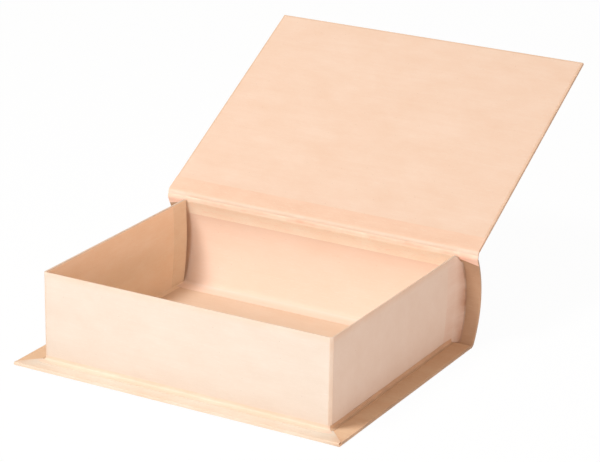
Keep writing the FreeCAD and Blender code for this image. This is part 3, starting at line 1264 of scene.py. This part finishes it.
    def soften_corners(self, bm: BMesh) -> None:
        """Let the paper stand loose on the two front corners, with a flat between two creases.

        Args:
            bm: mesh of the kraft strip.
        """
        corner = self.corner
        for vert in bm.verts:
            arm = Vector((abs(vert.co.x) - corner.x, vert.co.y - corner.y, 0))
            outside = arm.length > self.corner_radius - SIZES.paper
            if arm.x > TINY and arm.y < -TINY and outside:
                flat = abs(arm.x**2 - arm.y**2) / arm.length_squared
                uneven = (1 - self.dent_even) * noise.noise(vert.co / self.dent_spacing)
                loose = self.dent * flat * (self.dent_even + uneven)
                side = math.copysign(1, vert.co.x)
                vert.co += Vector((arm.x * side, arm.y, 0)).normalized() * loose

    def wall_rub(self, point: Vector) -> float:
        """Scuffing of the walls, along the rim and down the two front corners; on the rim it is partly
        painted shade that dulls the light the rim catches.

        Args:
            point: place on the strip.

        Returns:
            Scuffing.
        """
        rim = self.rim_wear - (SIZES.wall_top - point.z) * self.rim_wear_fade
        inset = self.corner_radius - TINY
        at_end = abs(point.x) > SIZES.tray_half - inset
        at_front = point.y < SIZES.tray_front + inset
        return max(rim, self.corner_wear if at_end and at_front else 0.0)

    def lining_outline(self, bm: BMesh) -> Edges:
        """Section of a lining that turns on to the floor: wall at Y = 0, room at +Y.

        Args:
            bm: mesh to draw in.

        Returns:
            The section's edges.
        """
        face, cove = SIZES.wall - self.wrap_thickness, self.lining_cove
        floor, under = SIZES.slab + self.lining_rise, SIZES.slab - SIZES.paper
        top = SIZES.wall_top - self.lining_drop
        return (
            Outline(bm, yz(-self.tuck, top))
            .line(yz(face, top))
            .line(yz(face, floor + cove), SIZES.wall_rows)
            .arc(yz(face + cove, floor + cove), 90, self.lining_cove_steps)
            .lines(yz(self.lining_lap, floor), yz(self.lining_lap, under), yz(-self.tuck, under))
            .close()
        )

    def front_lining(self) -> bpy.types.Object:
        """Make the lining inside the front wall.

        Returns:
            The new object.
        """
        bm = new_mesh()
        edges = self.lining_outline(bm)
        back = SIZES.tray_front + self.wrap_thickness
        bmesh.ops.translate(bm, verts=bm.verts, vec=Y_AXIS * back)
        long_prism(bm, edges, SIZES.tray_half - SIZES.wall)
        hand_cut(bm, amount=Vector((0, 0, 0.2)), wave=25, seed=5.3)
        return piece(bm, "front_wall_lining", SIDE_PAPER, ["front_lining"])

    def end_lining(self, name: str, side: int) -> bpy.types.Object:
        """Make the lining inside an end wall.

        Args:
            name: left or right.
            side: -1 or 1.

        Returns:
            The new object.
        """
        bm = new_mesh()
        edges = self.lining_outline(bm)
        start = SIZES.tray_front + SIZES.wall - self.lining_corner_lap
        back, run = SIZES.tray_half - self.wrap_thickness, SIZES.rear - start
        bmesh.ops.rotate(bm, verts=bm.verts, cent=ORIGIN, matrix=about_z(90))
        bmesh.ops.translate(bm, verts=bm.verts, vec=(back, start, 0))
        sweep(bm, edges, Y_AXIS * run, round(run / SIZES.grid))
        cap_ends(bm)
        self.bow_rear(bm, start, -SIZES.paper)
        hand_cut(bm, amount=Vector((0, 0, 0.2)), wave=25, seed=7.7 + side)
        bmesh.ops.scale(bm, verts=bm.verts, vec=(side, 1, 1))
        return piece(bm, f"{name}_wall_lining", SIDE_PAPER, [f"{name}_lining"])

    def foot_outline(self, bm: BMesh, reach: float) -> Edges:
        """Section of the folded tape, with the wall at Y = 0 and the ledge at -Y.

        Args:
            bm: mesh to draw in.
            reach: width of the tape on the ledge.

        Returns:
            The section's edges.
        """
        sheet, cove = SIZES.paper * self.foot_sheet, self.foot_cove
        floor = SIZES.slab + Base.turn_in_rise
        top = floor + self.foot_leg
        return (
            Outline(bm, yz(self.tuck, floor - sheet))
            .lines(yz(self.tuck, top), yz(-sheet, top), yz(-sheet, floor + sheet + cove))
            .arc(yz(-sheet - cove, floor + sheet + cove), -90, self.foot_cove_steps)
            .lines(yz(-reach, floor + sheet), yz(-reach, floor - sheet))
            .close()
        )

    def front_foot(self) -> bpy.types.Object:
        """Make the tape along the foot of the front wall, half-way round both corners.

        Returns:
            The new object.
        """
        bm = new_mesh()
        edges = self.foot_outline(bm, self.foot_spread)
        corner, left, turn = self.corner, self.left_corner, self.half_corner
        bmesh.ops.translate(bm, verts=bm.verts, vec=(left.x, SIZES.tray_front, 0))
        bmesh.ops.rotate(bm, verts=bm.verts, cent=left, matrix=about_z(-turn))
        edges = swing(bm, edges, left, turn, self.half_corner_steps)
        edges = sweep(bm, edges, X_AXIS * 2 * corner.x, round(2 * corner.x / SIZES.grid))
        swing(bm, edges, corner, turn, self.half_corner_steps)
        cap_ends(bm)
        hand_cut(bm, amount=Vector((0, 0.25, 0.2)), wave=14, seed=2.2)
        scuff(bm, lambda point: self.foot_wear)
        return piece(bm, "front_foot_fold", TAPE_PAPER, ["front_foot_tape"])

    def end_foot(self, name: str, side: int) -> bpy.types.Object:
        """Make the tape along the foot of an end wall, from half-way round its corner.

        Args:
            name: left or right.
            side: -1 or 1.

        Returns:
            The new object.
        """
        bm = new_mesh()
        edges = self.foot_outline(bm, self.end_foot_spread)
        corner, turn = self.corner, self.half_corner
        run = SIZES.rear - self.wall_foot_setback - corner.y
        bmesh.ops.translate(bm, verts=bm.verts, vec=(corner.x, SIZES.tray_front, 0))
        bmesh.ops.rotate(bm, verts=bm.verts, cent=corner, matrix=about_z(turn))
        edges = swing(bm, edges, corner, turn, self.half_corner_steps)
        sweep(bm, edges, Y_AXIS * run, round(run / SIZES.grid))
        cap_ends(bm)
        hand_cut(bm, amount=Vector((0.25, 0, 0.2)), wave=14, seed=4.4 + side)
        # darker cover paper, greyed by the wear mark: painted shade along the end walls' foot
        scuff(bm, lambda point: self.end_foot_wear)
        bmesh.ops.scale(bm, verts=bm.verts, vec=(side, 1, 1))
        return piece(bm, f"{name}_foot_fold", COVER_PAPER, [f"{name}_foot_tape"])

    def wall_arc(self, bm: BMesh, x: float, shift: float) -> Edges:
        """Line that follows an end wall's rear edge.

        Args:
            bm: mesh to draw in.
            x: where on X.
            shift: distance behind the edge.

        Returns:
            The line's edges.
        """
        centre, radius = self.rear_circle()
        foot, top = SIZES.slab + SIZES.paper, SIZES.wall_top - SIZES.paper
        start = Vector((x, self.rear_edge(foot) + shift, foot))
        turn = math.asin((top - centre.z) / radius) - math.asin((foot - centre.z) / radius)
        middle = Vector((x, centre.y + shift, centre.z))
        return Outline(bm, start).arc(middle, math.degrees(turn), self.gusset_rows).edges

    def spine_arc(self, bm: BMesh, x: float, height: float) -> Edges:
        """Line up the spine's inside, where the gusset is pasted.

        Args:
            bm: mesh to draw in.
            x: where on X.
            height: distance from the middle of the spine's card.

        Returns:
            The line's edges.
        """
        across, centre = X_AXIS * x, SIZES.spine_centre
        round_ = SIZES.spine_radius - height
        start, bend_centre, low, turn = SIZES.lower_bend(SIZES.slab + SIZES.paper, round_)
        high = math.asin((SIZES.wall_top - self.gusset_drop - centre.z) / round_)
        climb = math.degrees(high + SIZES.spine_end)
        return (
            Outline(bm, start + across)
            .arc(bend_centre + across, turn, self.gusset_bend_rows)
            .line(low + across)
            .arc(centre + across, climb, self.gusset_rows - self.gusset_bend_rows - 1)
            .edges
        )

    @classmethod
    def slant(cls, height: float) -> float:
        """How much further out than in the middle a gusset is pasted at a height."""
        return cls.gusset_slant * (SIZES.spine_centre.z - height) / SIZES.wall_height

    def gusset(self, name: str, side: int) -> list[bpy.types.Object]:
        """Make an end's gusset, flared from the wall's rear edge to the spine, and its inside leaf.

        Args:
            name: left or right.
            side: -1 or 1.

        Returns:
            The new objects.
        """
        inside = SIZES.tray_half - SIZES.wall - self.gusset_rise[0]
        outside = SIZES.tray_half + self.gusset_rise[1]
        pasted = SIZES.tray_half + self.gusset_flare
        # lines that the paper spans, by place on X, and distance behind the wall's rear edge or
        # height over the spine's middle
        leaf_lines = [
            (self.wall_arc, inside, -self.gusset_inside_leaf), (self.wall_arc, inside, -6),
            (self.wall_arc, inside, 0.6), (self.wall_arc, inside + 0.3, 0.9),
            (self.wall_arc, SIZES.tray_half - 0.5, 1.0)]
        fold_lines = [
            (self.wall_arc, outside - 0.4, -self.gusset_outside_leaf), (self.wall_arc, outside, -4),
            (self.wall_arc, outside, 0.1), (self.spine_arc, pasted, 0.95),
            (self.spine_arc, pasted + self.gusset_lap, 0.9)]
        made = []
        for part, finish, lines in (
            ("leaf", LEAF_PAPER, leaf_lines), ("fold", GUSSET_PAPER, fold_lines)
        ):
            bm = new_mesh()
            arcs = [draw(bm, *place) for draw, *place in lines]
            for near, far in zip(arcs, arcs[1:]):
                bmesh.ops.bridge_loops(bm, edges=near + far)
            for vert in bm.verts:
                if vert.co.x > pasted - TINY:
                    vert.co.x += self.slant(vert.co.z)
            bmesh.ops.recalc_face_normals(bm, faces=bm.faces)
            bmesh.ops.solidify(bm, geom=bm.faces[:], thickness=SIZES.paper * self.gusset_sheet)
            hand_cut(bm, amount=Vector((0, 0.3, 0.2)), wave=16, seed=9.1 + side)
            # browning towards the spine: painted shade in the gap behind each wall's rear edge
            scuff(bm, lambda point: (point.x - outside) / self.gusset_flare)
            bmesh.ops.scale(bm, verts=bm.verts, vec=(side, 1, 1))
            made.append(piece(
                bm, f"{name}_gusset_{part}", finish, [f"{name}_gusset"]))
        return made


def bend_at(crease: Vector, before: Vector, after: Vector) -> tuple[Vector, Vector]:
    """Points between which paper bends at a crease.

    Args:
        crease: middle of the bend.
        before: point as far before the crease as the next is after it.
        after: that point.

    Returns:
        Start and end of the bend, in metres.
    """
    run = (after - before).normalized() * SIZES.crease_reach
    return (crease - run) * MM, (crease + run) * MM


@dataclass
class Spine:
    """Spine: round card in kraft paper, joined to the floor and to the lid by pasted strips.

    Profiles are pairs: distance from the upper crease, and height over the middle of the card or
    of the gutter.
    """

    inner_skin: float = 0.07  # case's paper over the card's inside
    case_drop: float = 0.06  # case's inside below the base's upper face
    case_rows: int = 28
    case_bend_rows: tuple[int, int] = (8, 6)  # outside and inside
    case_out_spine: Profile = ((0.25, -0.62),)
    case_out_gutter: Profile = ((0.25, -0.52), (0.7, -0.45), (1.4, -0.45), (2.5, -0.45))
    case_in_gutter: Profile = ((2.5, 0.34), (0.6, 0.34), (0.0, 0.36))
    case_in_spine: Profile = ((0.4, 0.46),)
    end_round: float = 0.3
    end_wear: float = 0.9
    end_wear_fade: float = 1.2
    lining_rise: float = 0.28
    lining_rows: int = 18
    lining_side: float = 0.5  # lining beyond the line where a gusset is pasted
    lining_ear: float = 6.0  # lining's end above the cut corner of the leaf
    fold_rise: float = 0.16
    fold_half: float = 0.1  # half an end fold's thickness on the base
    fold_drop: float = 1.0  # end fold's top below the card's
    fold_gaps: tuple[float, float] = (0.5, 0.2)  # to the wall and to the case's rounded end
    fold_rows: int = 24
    fold_bend_rows: int = 6
    fold_columns: int = 4
    strip_rise: float = 0.34
    strip_tuck: float = 0.05  # strip's two faces past the base's and the card's
    strip_floor_rows: int = 2
    strip_bend_rows: int = 8
    strip_leaf_rows: int = 5
    strip_side: float = 1.0  # strip's end beyond the walls
    strip_reach: float = 2.7  # further out where it has climbed the spine, under the gusset
    strip_climb: float = 4.0  # height in which it reaches out
    strip_wear_fade: float = 0.6  # loss of wear for each millimetre from the bend
    leaf_rise: float = 0.36
    leaf_rows: int = 8
    leaf_bend: float = 1.3  # leaf's part at the crease that leaves the card
    leaf_top_spine: Profile = ((0.9, 0.85), (0.4, 0.8))
    leaf_under_gutter: Profile = ((2.5, 0.3), (0.9, 0.3), (0.0, 0.3))
    leaf_under_spine: Profile = ((0.5, 0.35), (1.3, 0.5))
    trim_start: float = 1.5  # leaf left under the crease where its corner is cut off
    trim_side: float = 1.5  # cut's start beyond the walls
    trim_left: tuple[float, float] = (0.05, 0.35)  # share left at the cut's start, and added after

    def build(self) -> list[bpy.types.Object]:
        """Make the spine's pieces.

        Returns:
            The new objects.
        """
        still = [self.lining(), self.floor_strip(), *[self.end_fold(*hand) for hand in HANDS]]
        for made in still:
            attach(made, "box")
        bending = [self.case(), self.hinge_leaf()]
        start, end = bend_at(SIZES.spine_crease, SIZES.on_spine(1, 0), SIZES.on_gutter(1, 0))
        for made in bending:
            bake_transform(made, "box", "hinge", start=start, end=end)
        return still + bending

    def case(self) -> bpy.types.Object:
        """Make the paper round the spine, from the base's rear edge to the middle of the gutter.

        Returns:
            The new object.
        """
        bm = new_mesh()
        card_half, centre = SIZES.card / 2, SIZES.spine_centre
        outside = SIZES.spine_radius + card_half + SIZES.paper
        inside = SIZES.spine_radius - card_half - self.inner_skin
        climb = math.degrees(2 * SIZES.spine_end)
        out_rows, in_rows = self.case_bend_rows
        out_start, out_centre, out_end, turn = SIZES.lower_bend(0, outside)
        in_start, in_centre, _, in_turn = SIZES.lower_bend(SIZES.slab - self.case_drop, inside)
        edges = (
            Outline(bm, out_start)
            .arc(out_centre, turn, out_rows)
            .line(out_end)
            .arc(centre, climb, self.case_rows)
            .lines(*spots(SIZES.on_spine, self.case_out_spine))
            .lines(*spots(SIZES.on_gutter, self.case_out_gutter + self.case_in_gutter))
            .lines(*spots(SIZES.on_spine, self.case_in_spine))
            .line(SIZES.on_spine(SIZES.crease_gap, card_half + self.inner_skin))
            .arc(centre, -climb, self.case_rows)
            .line(turned(in_start, in_centre, in_turn))
            .arc(in_centre, -in_turn, in_rows)
            .close()
        )
        long_prism(bm, edges, SIZES.half + SIZES.end_skin, self.end_round)
        wear_ends(bm, self.end_wear, self.end_wear_fade)
        return piece(bm, "spine_case", CASE_PAPER, ["spine_cover_paper"])

    def lining(self) -> bpy.types.Object:
        """Make the lining on the spine's inside, between the two pasted strips.

        Returns:
            The new object.
        """
        bm = new_mesh()
        under, centre = SIZES.card / 2, SIZES.spine_centre
        high = SIZES.hinge_leaf - SIZES.strip_lap
        low = 2 * SIZES.crease_turn * SIZES.spine_radius - high
        turn, ear = SIZES.spine_degrees(low - high), SIZES.spine_degrees(self.lining_ear)
        edges = (
            Outline(bm, SIZES.on_spine(low, under))
            .arc(centre, turn, self.lining_rows)
            .line(SIZES.on_spine(high, under + self.lining_rise))
            .arc(centre, -turn, self.lining_rows)
            .close()
        )
        long_prism(bm, edges, SIZES.tray_half + Tray.gusset_flare + self.lining_side)
        for vert in bm.verts:
            if abs(vert.co.x) > SIZES.tray_half:
                vert.co.x += Tray.slant(vert.co.z) * math.copysign(1, vert.co.x)
                if SIZES.spine_way(vert.co) < high + TINY:
                    vert.co = turned(vert.co, centre + X_AXIS * vert.co.x, ear)
        cockle(bm, lift=Y_AXIS * 0.05, wave=26, seed=12.5)
        hand_cut(bm, amount=Vector((0.3, 0, 0)), wave=20, seed=1.9)
        return piece(bm, "spine_inside_lining", SPINE_PAPER, ["spine_lining"])

    def end_fold(self, name: str, side: int) -> bpy.types.Object:
        """Make the cover paper folded over an end of the spine and pasted down on its inside.

        Args:
            name: left or right.
            side: -1 or 1.

        Returns:
            The new object.
        """
        bm = new_mesh()
        inner, centre = SIZES.spine_radius - SIZES.card / 2, SIZES.spine_centre
        top_start, top_centre, top_end, turn = SIZES.lower_bend(
            SIZES.slab + self.fold_half, inner - self.fold_rise)
        low_start, low_centre, low_end, _ = SIZES.lower_bend(SIZES.slab - self.fold_half, inner)
        climb = math.degrees(2 * SIZES.spine_end - self.fold_drop / SIZES.spine_radius)
        edges = (
            Outline(bm, top_start)
            .arc(top_centre, turn, self.fold_bend_rows)
            .line(top_end)
            .arc(centre, climb, self.fold_rows)
            .line(turned(low_end, centre, climb))
            .arc(centre, -climb, self.fold_rows)
            .line(turned(low_start, low_centre, turn))
            .arc(low_centre, -turn, self.fold_bend_rows)
            .close()
        )
        start = SIZES.tray_half + self.fold_gaps[0]
        end = SIZES.half - self.end_round - self.fold_gaps[1]
        bmesh.ops.translate(bm, verts=bm.verts, vec=X_AXIS * start)
        sweep(bm, edges, X_AXIS * (end - start), self.fold_columns)
        cap_ends(bm)
        bmesh.ops.scale(bm, verts=bm.verts, vec=(side, 1, 1))
        # dark paper: painted shade on the spine's inside beyond the walls
        return piece(bm, f"{name}_spine_end_fold", SHADE_PAINTED_PAPER, [])

    def floor_strip(self) -> bpy.types.Object:
        """Make the pasted strip over the joint of floor and spine.

        Returns:
            The new object.
        """
        bm = new_mesh()
        front, centre = yz(SIZES.rear - SIZES.hinge_leaf, 0), SIZES.spine_centre
        leaf_turn = SIZES.spine_degrees(SIZES.hinge_leaf)
        low, high = SIZES.slab - SIZES.paper, SIZES.slab + self.strip_rise
        inner = SIZES.spine_radius - SIZES.card / 2
        top_start, top_centre, top_end, top_turn = SIZES.lower_bend(
            high, inner - self.strip_rise - self.strip_tuck)
        low_start, low_centre, low_end, low_turn = SIZES.lower_bend(low, inner + self.strip_tuck)
        edges = (
            Outline(bm, front + Z_AXIS * high)
            .line(top_start, self.strip_floor_rows)
            .arc(top_centre, top_turn, self.strip_bend_rows)
            .line(top_end)
            .arc(centre, leaf_turn, self.strip_leaf_rows)
            .line(turned(low_end, centre, leaf_turn))
            .arc(centre, -leaf_turn, self.strip_leaf_rows)
            .line(turned(low_start, low_centre, low_turn))
            .arc(low_centre, -low_turn, self.strip_bend_rows)
            .line(front + Z_AXIS * low)
            .close()
        )
        long_prism(bm, edges, SIZES.tray_half + self.strip_side)
        for vert in bm.verts:
            if abs(vert.co.x) > SIZES.tray_half:
                climbed = min(1.0, max(0.0, (vert.co.z - high) / self.strip_climb))
                reach = climbed * (self.strip_reach + Tray.slant(vert.co.z))
                vert.co.x += math.copysign(reach, vert.co.x)
        hand_cut(bm, amount=Vector((0, 0.2, 0.06)), wave=18, seed=6.6)
        scuff(bm, lambda point: (
            1.0 - self.strip_wear_fade * (yz(point.y, point.z) - top_start).length))
        return piece(bm, "floor_joint_strip", SPINE_PAPER, ["lower_joint_strip"])

    def hinge_leaf(self) -> bpy.types.Object:
        """Make the hinge strip from its leaf on the spine, over the crease, to mid-gutter.

        Returns:
            The new object.
        """
        bm = new_mesh()
        leaf, top = SIZES.hinge_leaf, SIZES.card / 2 + self.leaf_rise
        turn = SIZES.spine_degrees(leaf - self.leaf_bend)
        over = GUTTER_PROFILE[: GUTTER_SEAM + 1]
        edges = (
            Outline(bm, SIZES.on_spine(leaf, top))
            .arc(SIZES.spine_centre, turn, self.leaf_rows)
            .lines(*spots(SIZES.on_spine, self.leaf_top_spine))
            .lines(*spots(SIZES.on_gutter, over + self.leaf_under_gutter))
            .lines(*spots(SIZES.on_spine, self.leaf_under_spine))
            .arc(SIZES.spine_centre, -turn, self.leaf_rows)
            .close()
        )
        long_prism(bm, edges, SIZES.half - SIZES.strip_setback)
        self.trim_leaf(bm)
        swell(bm)
        # pink rub on the crease, and painted shade on the leaf's ends beyond the walls, where light reaches
        # its pale tone
        scuff(bm, lambda point: max(gutter_rub(point), abs(point.x) - SIZES.tray_half))
        return piece(bm, "hinge_strip_lower", LIGHT_PAINTED_TAPE, ["spine_hinge_leaf"])

    def trim_leaf(self, bm: BMesh) -> None:
        """Cut the leaf's corners off, from the gussets out to the spine's ends.

        Args:
            bm: mesh of the hinge strip.
        """
        wall, inner = SIZES.tray_half, SIZES.tray_half + self.trim_side
        cut_rows(bm, X_AXIS, [side * x for _, side in HANDS for x in (wall, inner)])
        least, added = self.trim_left
        for vert in bm.verts:
            back = SIZES.spine_way(vert.co)
            if abs(vert.co.x) > inner - TINY and back > self.trim_start:
                share = (abs(vert.co.x) - inner) / (SIZES.half - inner)
                cut = (back - self.trim_start) * (1 - least - added * share)
                centre = SIZES.spine_centre + X_AXIS * vert.co.x
                vert.co = turned(vert.co, centre, SIZES.spine_degrees(cut))


@dataclass
class Lid:
    """Lid: greyboard in kraft paper, lined inside and hung on the hinge strip.

    Profiles are pairs: distance from the crease that the gutter or the lid begins at, and height
    over the middle of the gutter or of the lid.
    """

    edge_round: float = 0.5
    edge_steps: int = 3
    end_round: float = 0.4
    end_wear: float = 0.5
    end_wear_fade: float = 0.7
    inner_face: float = 0.97  # case's inside, from the lid's middle
    inner_start: float = 1.2  # where the case's inside begins
    case_out_gutter: Profile = ((3.6, -0.45), (4.3, -0.45), (4.8, -0.5))
    case_out_lid: Profile = ((0.4, -0.7), (0.7, -1.05))
    case_in_lid: Profile = ((0.7, 0.87), (0.3, 0.55))
    case_in_gutter: Profile = ((5.0, 0.36), (4.4, 0.34), (2.5, 0.34), (2.5, -0.45))
    margin: float = 1.6  # lining's edges from the lid's
    lining_face: float = 1.09
    lining_sheet: float = 0.15  # lining's back below the case's inside
    leaf_face: float = 1.24
    leaf_back: float = 0.85
    leaf_rows: int = 4
    leaf_top: Profile = ((0.4, 1.12), (0.9, 1.22), (1.6, 1.27), (2.4, 1.24))
    leaf_under_lid: Profile = ((1.6, 0.85), (0.6, 0.4))
    leaf_under_gutter: Profile = ((5.0, 0.3), (4.1, 0.3), (2.5, 0.3))

    def build(self) -> list[bpy.types.Object]:
        """Make the lid's pieces.

        Returns:
            The new objects.
        """
        lining = self.lining()
        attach(lining, "lid")
        bending = [self.case(), self.hinge_leaf()]
        start, end = bend_at(
            SIZES.lid_crease, SIZES.on_gutter(SIZES.gutter_width - 1, 0), SIZES.on_lid(1, 0))
        for made in bending:
            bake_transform(made, "hinge", "lid", start=start, end=end)
        return [lining, *bending]

    def case(self) -> bpy.types.Object:
        """Make the paper round the lid's board, from the middle of the gutter to the front edge.

        Returns:
            The new object.
        """
        bm = new_mesh()
        outer, inner, round_ = SIZES.slab / 2, self.inner_face, self.edge_round
        end = SIZES.crease_gap + SIZES.lid_depth
        rows = round(SIZES.lid_depth / SIZES.grid)
        edges = (
            Outline(bm, SIZES.on_gutter(*self.case_in_gutter[-1]))
            .lines(*spots(SIZES.on_gutter, self.case_out_gutter))
            .lines(*spots(SIZES.on_lid, self.case_out_lid))
            .line(SIZES.on_lid(end - round_, -outer), rows)
            .arc(SIZES.on_lid(end - round_, round_ - outer), 90, self.edge_steps)
            .line(SIZES.on_lid(end, inner - round_))
            .arc(SIZES.on_lid(end - round_, inner - round_), 90, self.edge_steps)
            .line(SIZES.on_lid(self.inner_start, inner), rows)
            .lines(*spots(SIZES.on_lid, self.case_in_lid))
            .lines(*spots(SIZES.on_gutter, self.case_in_gutter[:-1]))
            .close()
        )
        long_prism(bm, edges, SIZES.half + SIZES.end_skin, self.end_round)
        wear_ends(bm, self.end_wear, self.end_wear_fade)
        return piece(bm, "lid_case", LID_COVER_PAPER, ["lid_cover_paper"])

    def lining(self) -> bpy.types.Object:
        """Make the lining inside the lid, set in from three edges.

        Returns:
            The new object.
        """
        start = SIZES.crease_gap + SIZES.hinge_leaf - SIZES.strip_lap
        end = SIZES.crease_gap + SIZES.lid_depth - self.margin
        back = self.inner_face - self.lining_sheet
        bm = slab_mesh(SIZES.half - self.margin, (start, end), (back, self.lining_face))
        cockle(bm, lift=Z_AXIS * 0.05, wave=34, seed=8.8)
        hand_cut(bm, amount=Vector((0.3, 0.3, 0)), wave=30, seed=3.4)
        bmesh.ops.transform(bm, verts=bm.verts, matrix=SIZES.lid_matrix())
        return piece(bm, "lid_inside_lining", LID_PAPER, ["lid_lining"])

    def hinge_leaf(self) -> bpy.types.Object:
        """Make the hinge strip from mid-gutter, over the upper crease, to its leaf on the lid.

        Returns:
            The new object.
        """
        bm = new_mesh()
        leaf = SIZES.crease_gap + SIZES.hinge_leaf
        edges = (
            Outline(bm, SIZES.on_gutter(*GUTTER_PROFILE[GUTTER_SEAM]))
            .lines(*spots(SIZES.on_gutter, GUTTER_PROFILE[GUTTER_SEAM + 1 :]))
            .lines(*spots(SIZES.on_lid, self.leaf_top))
            .line(SIZES.on_lid(leaf, self.leaf_face), self.leaf_rows)
            .line(SIZES.on_lid(leaf, self.leaf_back))
            .lines(*spots(SIZES.on_lid, self.leaf_under_lid))
            .lines(*spots(SIZES.on_gutter, self.leaf_under_gutter))
            .close()
        )
        long_prism(bm, edges, SIZES.half - SIZES.strip_setback)
        swell(bm)
        scuff(bm, gutter_rub)
        return piece(bm, "hinge_strip_upper", TAPE_PAPER, ["lid_hinge_leaf"])


@dataclass
class Boards:
    """Boards and the bare gutter, which keep the solids' own shapes under the paper."""

    greyboards: tuple[str, ...] = ("base_board", "lid_board")
    cards: tuple[str, ...] = (
        "front_wall_board", "left_wall_board", "right_wall_board", "spine_board")
    strips: tuple[str, ...] = ("hinge_gutter",)

    def dress(self) -> list[bpy.types.Object]:
        """Give each solid its finish.

        Returns:
            The dressed objects.
        """
        dressed = []
        for names, finish in (
            (self.greyboards, GREYBOARD), (self.cards, CARD), (self.strips, TAPE_PAPER)
        ):
            for name in names:
                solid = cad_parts[name]
                for holder in solid.material_slots:
                    holder.material = finish.material()
                dressed.append(solid)
        return dressed


@dataclass(frozen=True)
class Lamp:
    """Soft square lamp that points at the box, in metres."""

    name: str
    towards: tuple[float, float, float]  # from the box to the lamp
    distance: float
    size: float
    level: float  # share of white that it gives a white sheet facing it
    colour: str = "#FFFFFF"


@dataclass
class Studio:
    """White table, soft lamps and the camera, in millimetres and degrees."""

    azimuth: float = 29.32
    elevation: float = 19.81
    roll: float = 0.97
    aim: tuple[float, float, float] = (40.58, 1.0, 98.44)
    distance: float = 1582.8
    lens: float = 144.1
    sensor: float = 36.0
    clip: tuple[float, float] = (50.0, 50000.0)
    ambient: float = 0.325
    ambient_colour: str = "#FFEDD8"
    table_drop: float = 0.2
    table_half: float = 6000.0
    table_top: Laminate = Laminate("white_laminate", "#F8F8F8", glow=0.97)
    lamp_aim: tuple[float, float, float] = (0.0, 30.0, 50.0)
    lamps: tuple[Lamp, ...] = (
        Lamp("key_lamp", (-0.272, -0.419, 0.866), 1.9, 0.5, 0.72),
        Lamp("front_lamp", (0.04, -0.954, 0.292), 1.6, 0.55, 0.39),
        Lamp("side_reflector", (1.0, 0.06, 0.07), 1.6, 0.26, 0.288, "#FFDBD0"),
    )

    def build(self) -> None:
        """Make the table, the lamps, the surrounding light and the camera."""
        self.table()
        for lamp in self.lamps:
            self.hang(lamp)
        self.surround()
        self.camera()

    def camera(self) -> None:
        """Set the camera where the box was photographed from."""
        turn, rise, roll = (math.radians(a) for a in (self.azimuth, self.elevation, self.roll))
        back = Vector((
            math.sin(turn) * math.cos(rise), -math.cos(turn) * math.cos(rise), math.sin(rise)))
        level = (-back).cross(Z_AXIS).normalized()
        upright = level.cross(-back)
        right = level * math.cos(roll) + upright * math.sin(roll)
        up = upright * math.cos(roll) - level * math.sin(roll)
        data = bpy.data.cameras.new("camera")
        data.lens, data.sensor_width, data.sensor_fit = self.lens, self.sensor, "HORIZONTAL"
        data.clip_start, data.clip_end = (gap * MM for gap in self.clip)
        made = bpy.data.objects.new("camera", data)
        axes = Matrix((right, up, back)).transposed().to_4x4()
        spot = (Vector(self.aim) + back * self.distance) * MM
        made.matrix_world = Matrix.Translation(spot) @ axes
        bpy.context.scene.collection.objects.link(made)
        bpy.context.scene.camera = made

    def hang(self, lamp: Lamp) -> None:
        """Hang one lamp.

        Args:
            lamp: which one.
        """
        data = bpy.data.lights.new(lamp.name, "AREA")
        data.shape, data.size = "SQUARE", lamp.size
        data.energy = lamp.level * math.pi**2 * lamp.distance**2
        data.color = linear(lamp.colour)[:3]
        made = bpy.data.objects.new(lamp.name, data)
        towards = Vector(lamp.towards).normalized()
        made.location = Vector(self.lamp_aim) * MM + towards * lamp.distance
        made.rotation_mode = "QUATERNION"
        made.rotation_quaternion = (-towards).to_track_quat("-Z", "Y")
        bpy.context.scene.collection.objects.link(made)

    def surround(self) -> None:
        """Make the world white to the eye, and a soft even light on the box."""
        world = bpy.data.worlds.new("studio")
        tree = bare_tree(world)
        seen = seen_directly(tree)
        colour = add(tree, "ShaderNodeMix", {
            MIX_SHARE: seen, MIX_UNDER: linear(self.ambient_colour), MIX_OVER: WHITE},
            data_type="RGBA").outputs[MIX_RESULT]
        strength = add(tree, "ShaderNodeMapRange", {
            "Value": seen, "To Min": self.ambient, "To Max": 1.0}).outputs[0]
        glow = add(tree, "ShaderNodeBackground", {"Color": colour, "Strength": strength}).outputs[0]
        add(tree, "ShaderNodeOutputWorld", {"Surface": glow})
        bpy.context.scene.world = world

    def table(self) -> None:
        """Make the white table that keeps the box's shadow."""
        bm = bmesh.new()
        bmesh.ops.create_grid(bm, x_segments=1, y_segments=1, size=self.table_half * MM)
        bmesh.ops.translate(bm, verts=bm.verts, vec=Z_AXIS * (-self.table_drop * MM))
        mesh = bpy.data.meshes.new("table")
        bm.to_mesh(mesh)
        bm.free()
        mesh.materials.append(self.table_top.material())
        made = bpy.data.objects.new("table", mesh)
        bpy.context.scene.collection.objects.link(made)


def main() -> None:
    """Dress the box, light it and report each piece."""
    logging.basicConfig(level=logging.INFO, format="%(name)s %(message)s")
    bpy.context.scene.view_settings.view_transform = "Standard"
    noise.seed_set(NOISE_SEED)
    for assembly in (Base(), Tray(), Spine(), Lid()):
        for made in assembly.build():
            kind, faces = type(assembly).__name__, len(made.data.polygons)
            LOG.info("%s: %s, %d faces", kind, made.name, faces)
    for solid in Boards().dress():
        LOG.info("Boards: %s keeps its solid", solid.name)
    Studio().build()


if __name__ == "__main__":
    main()
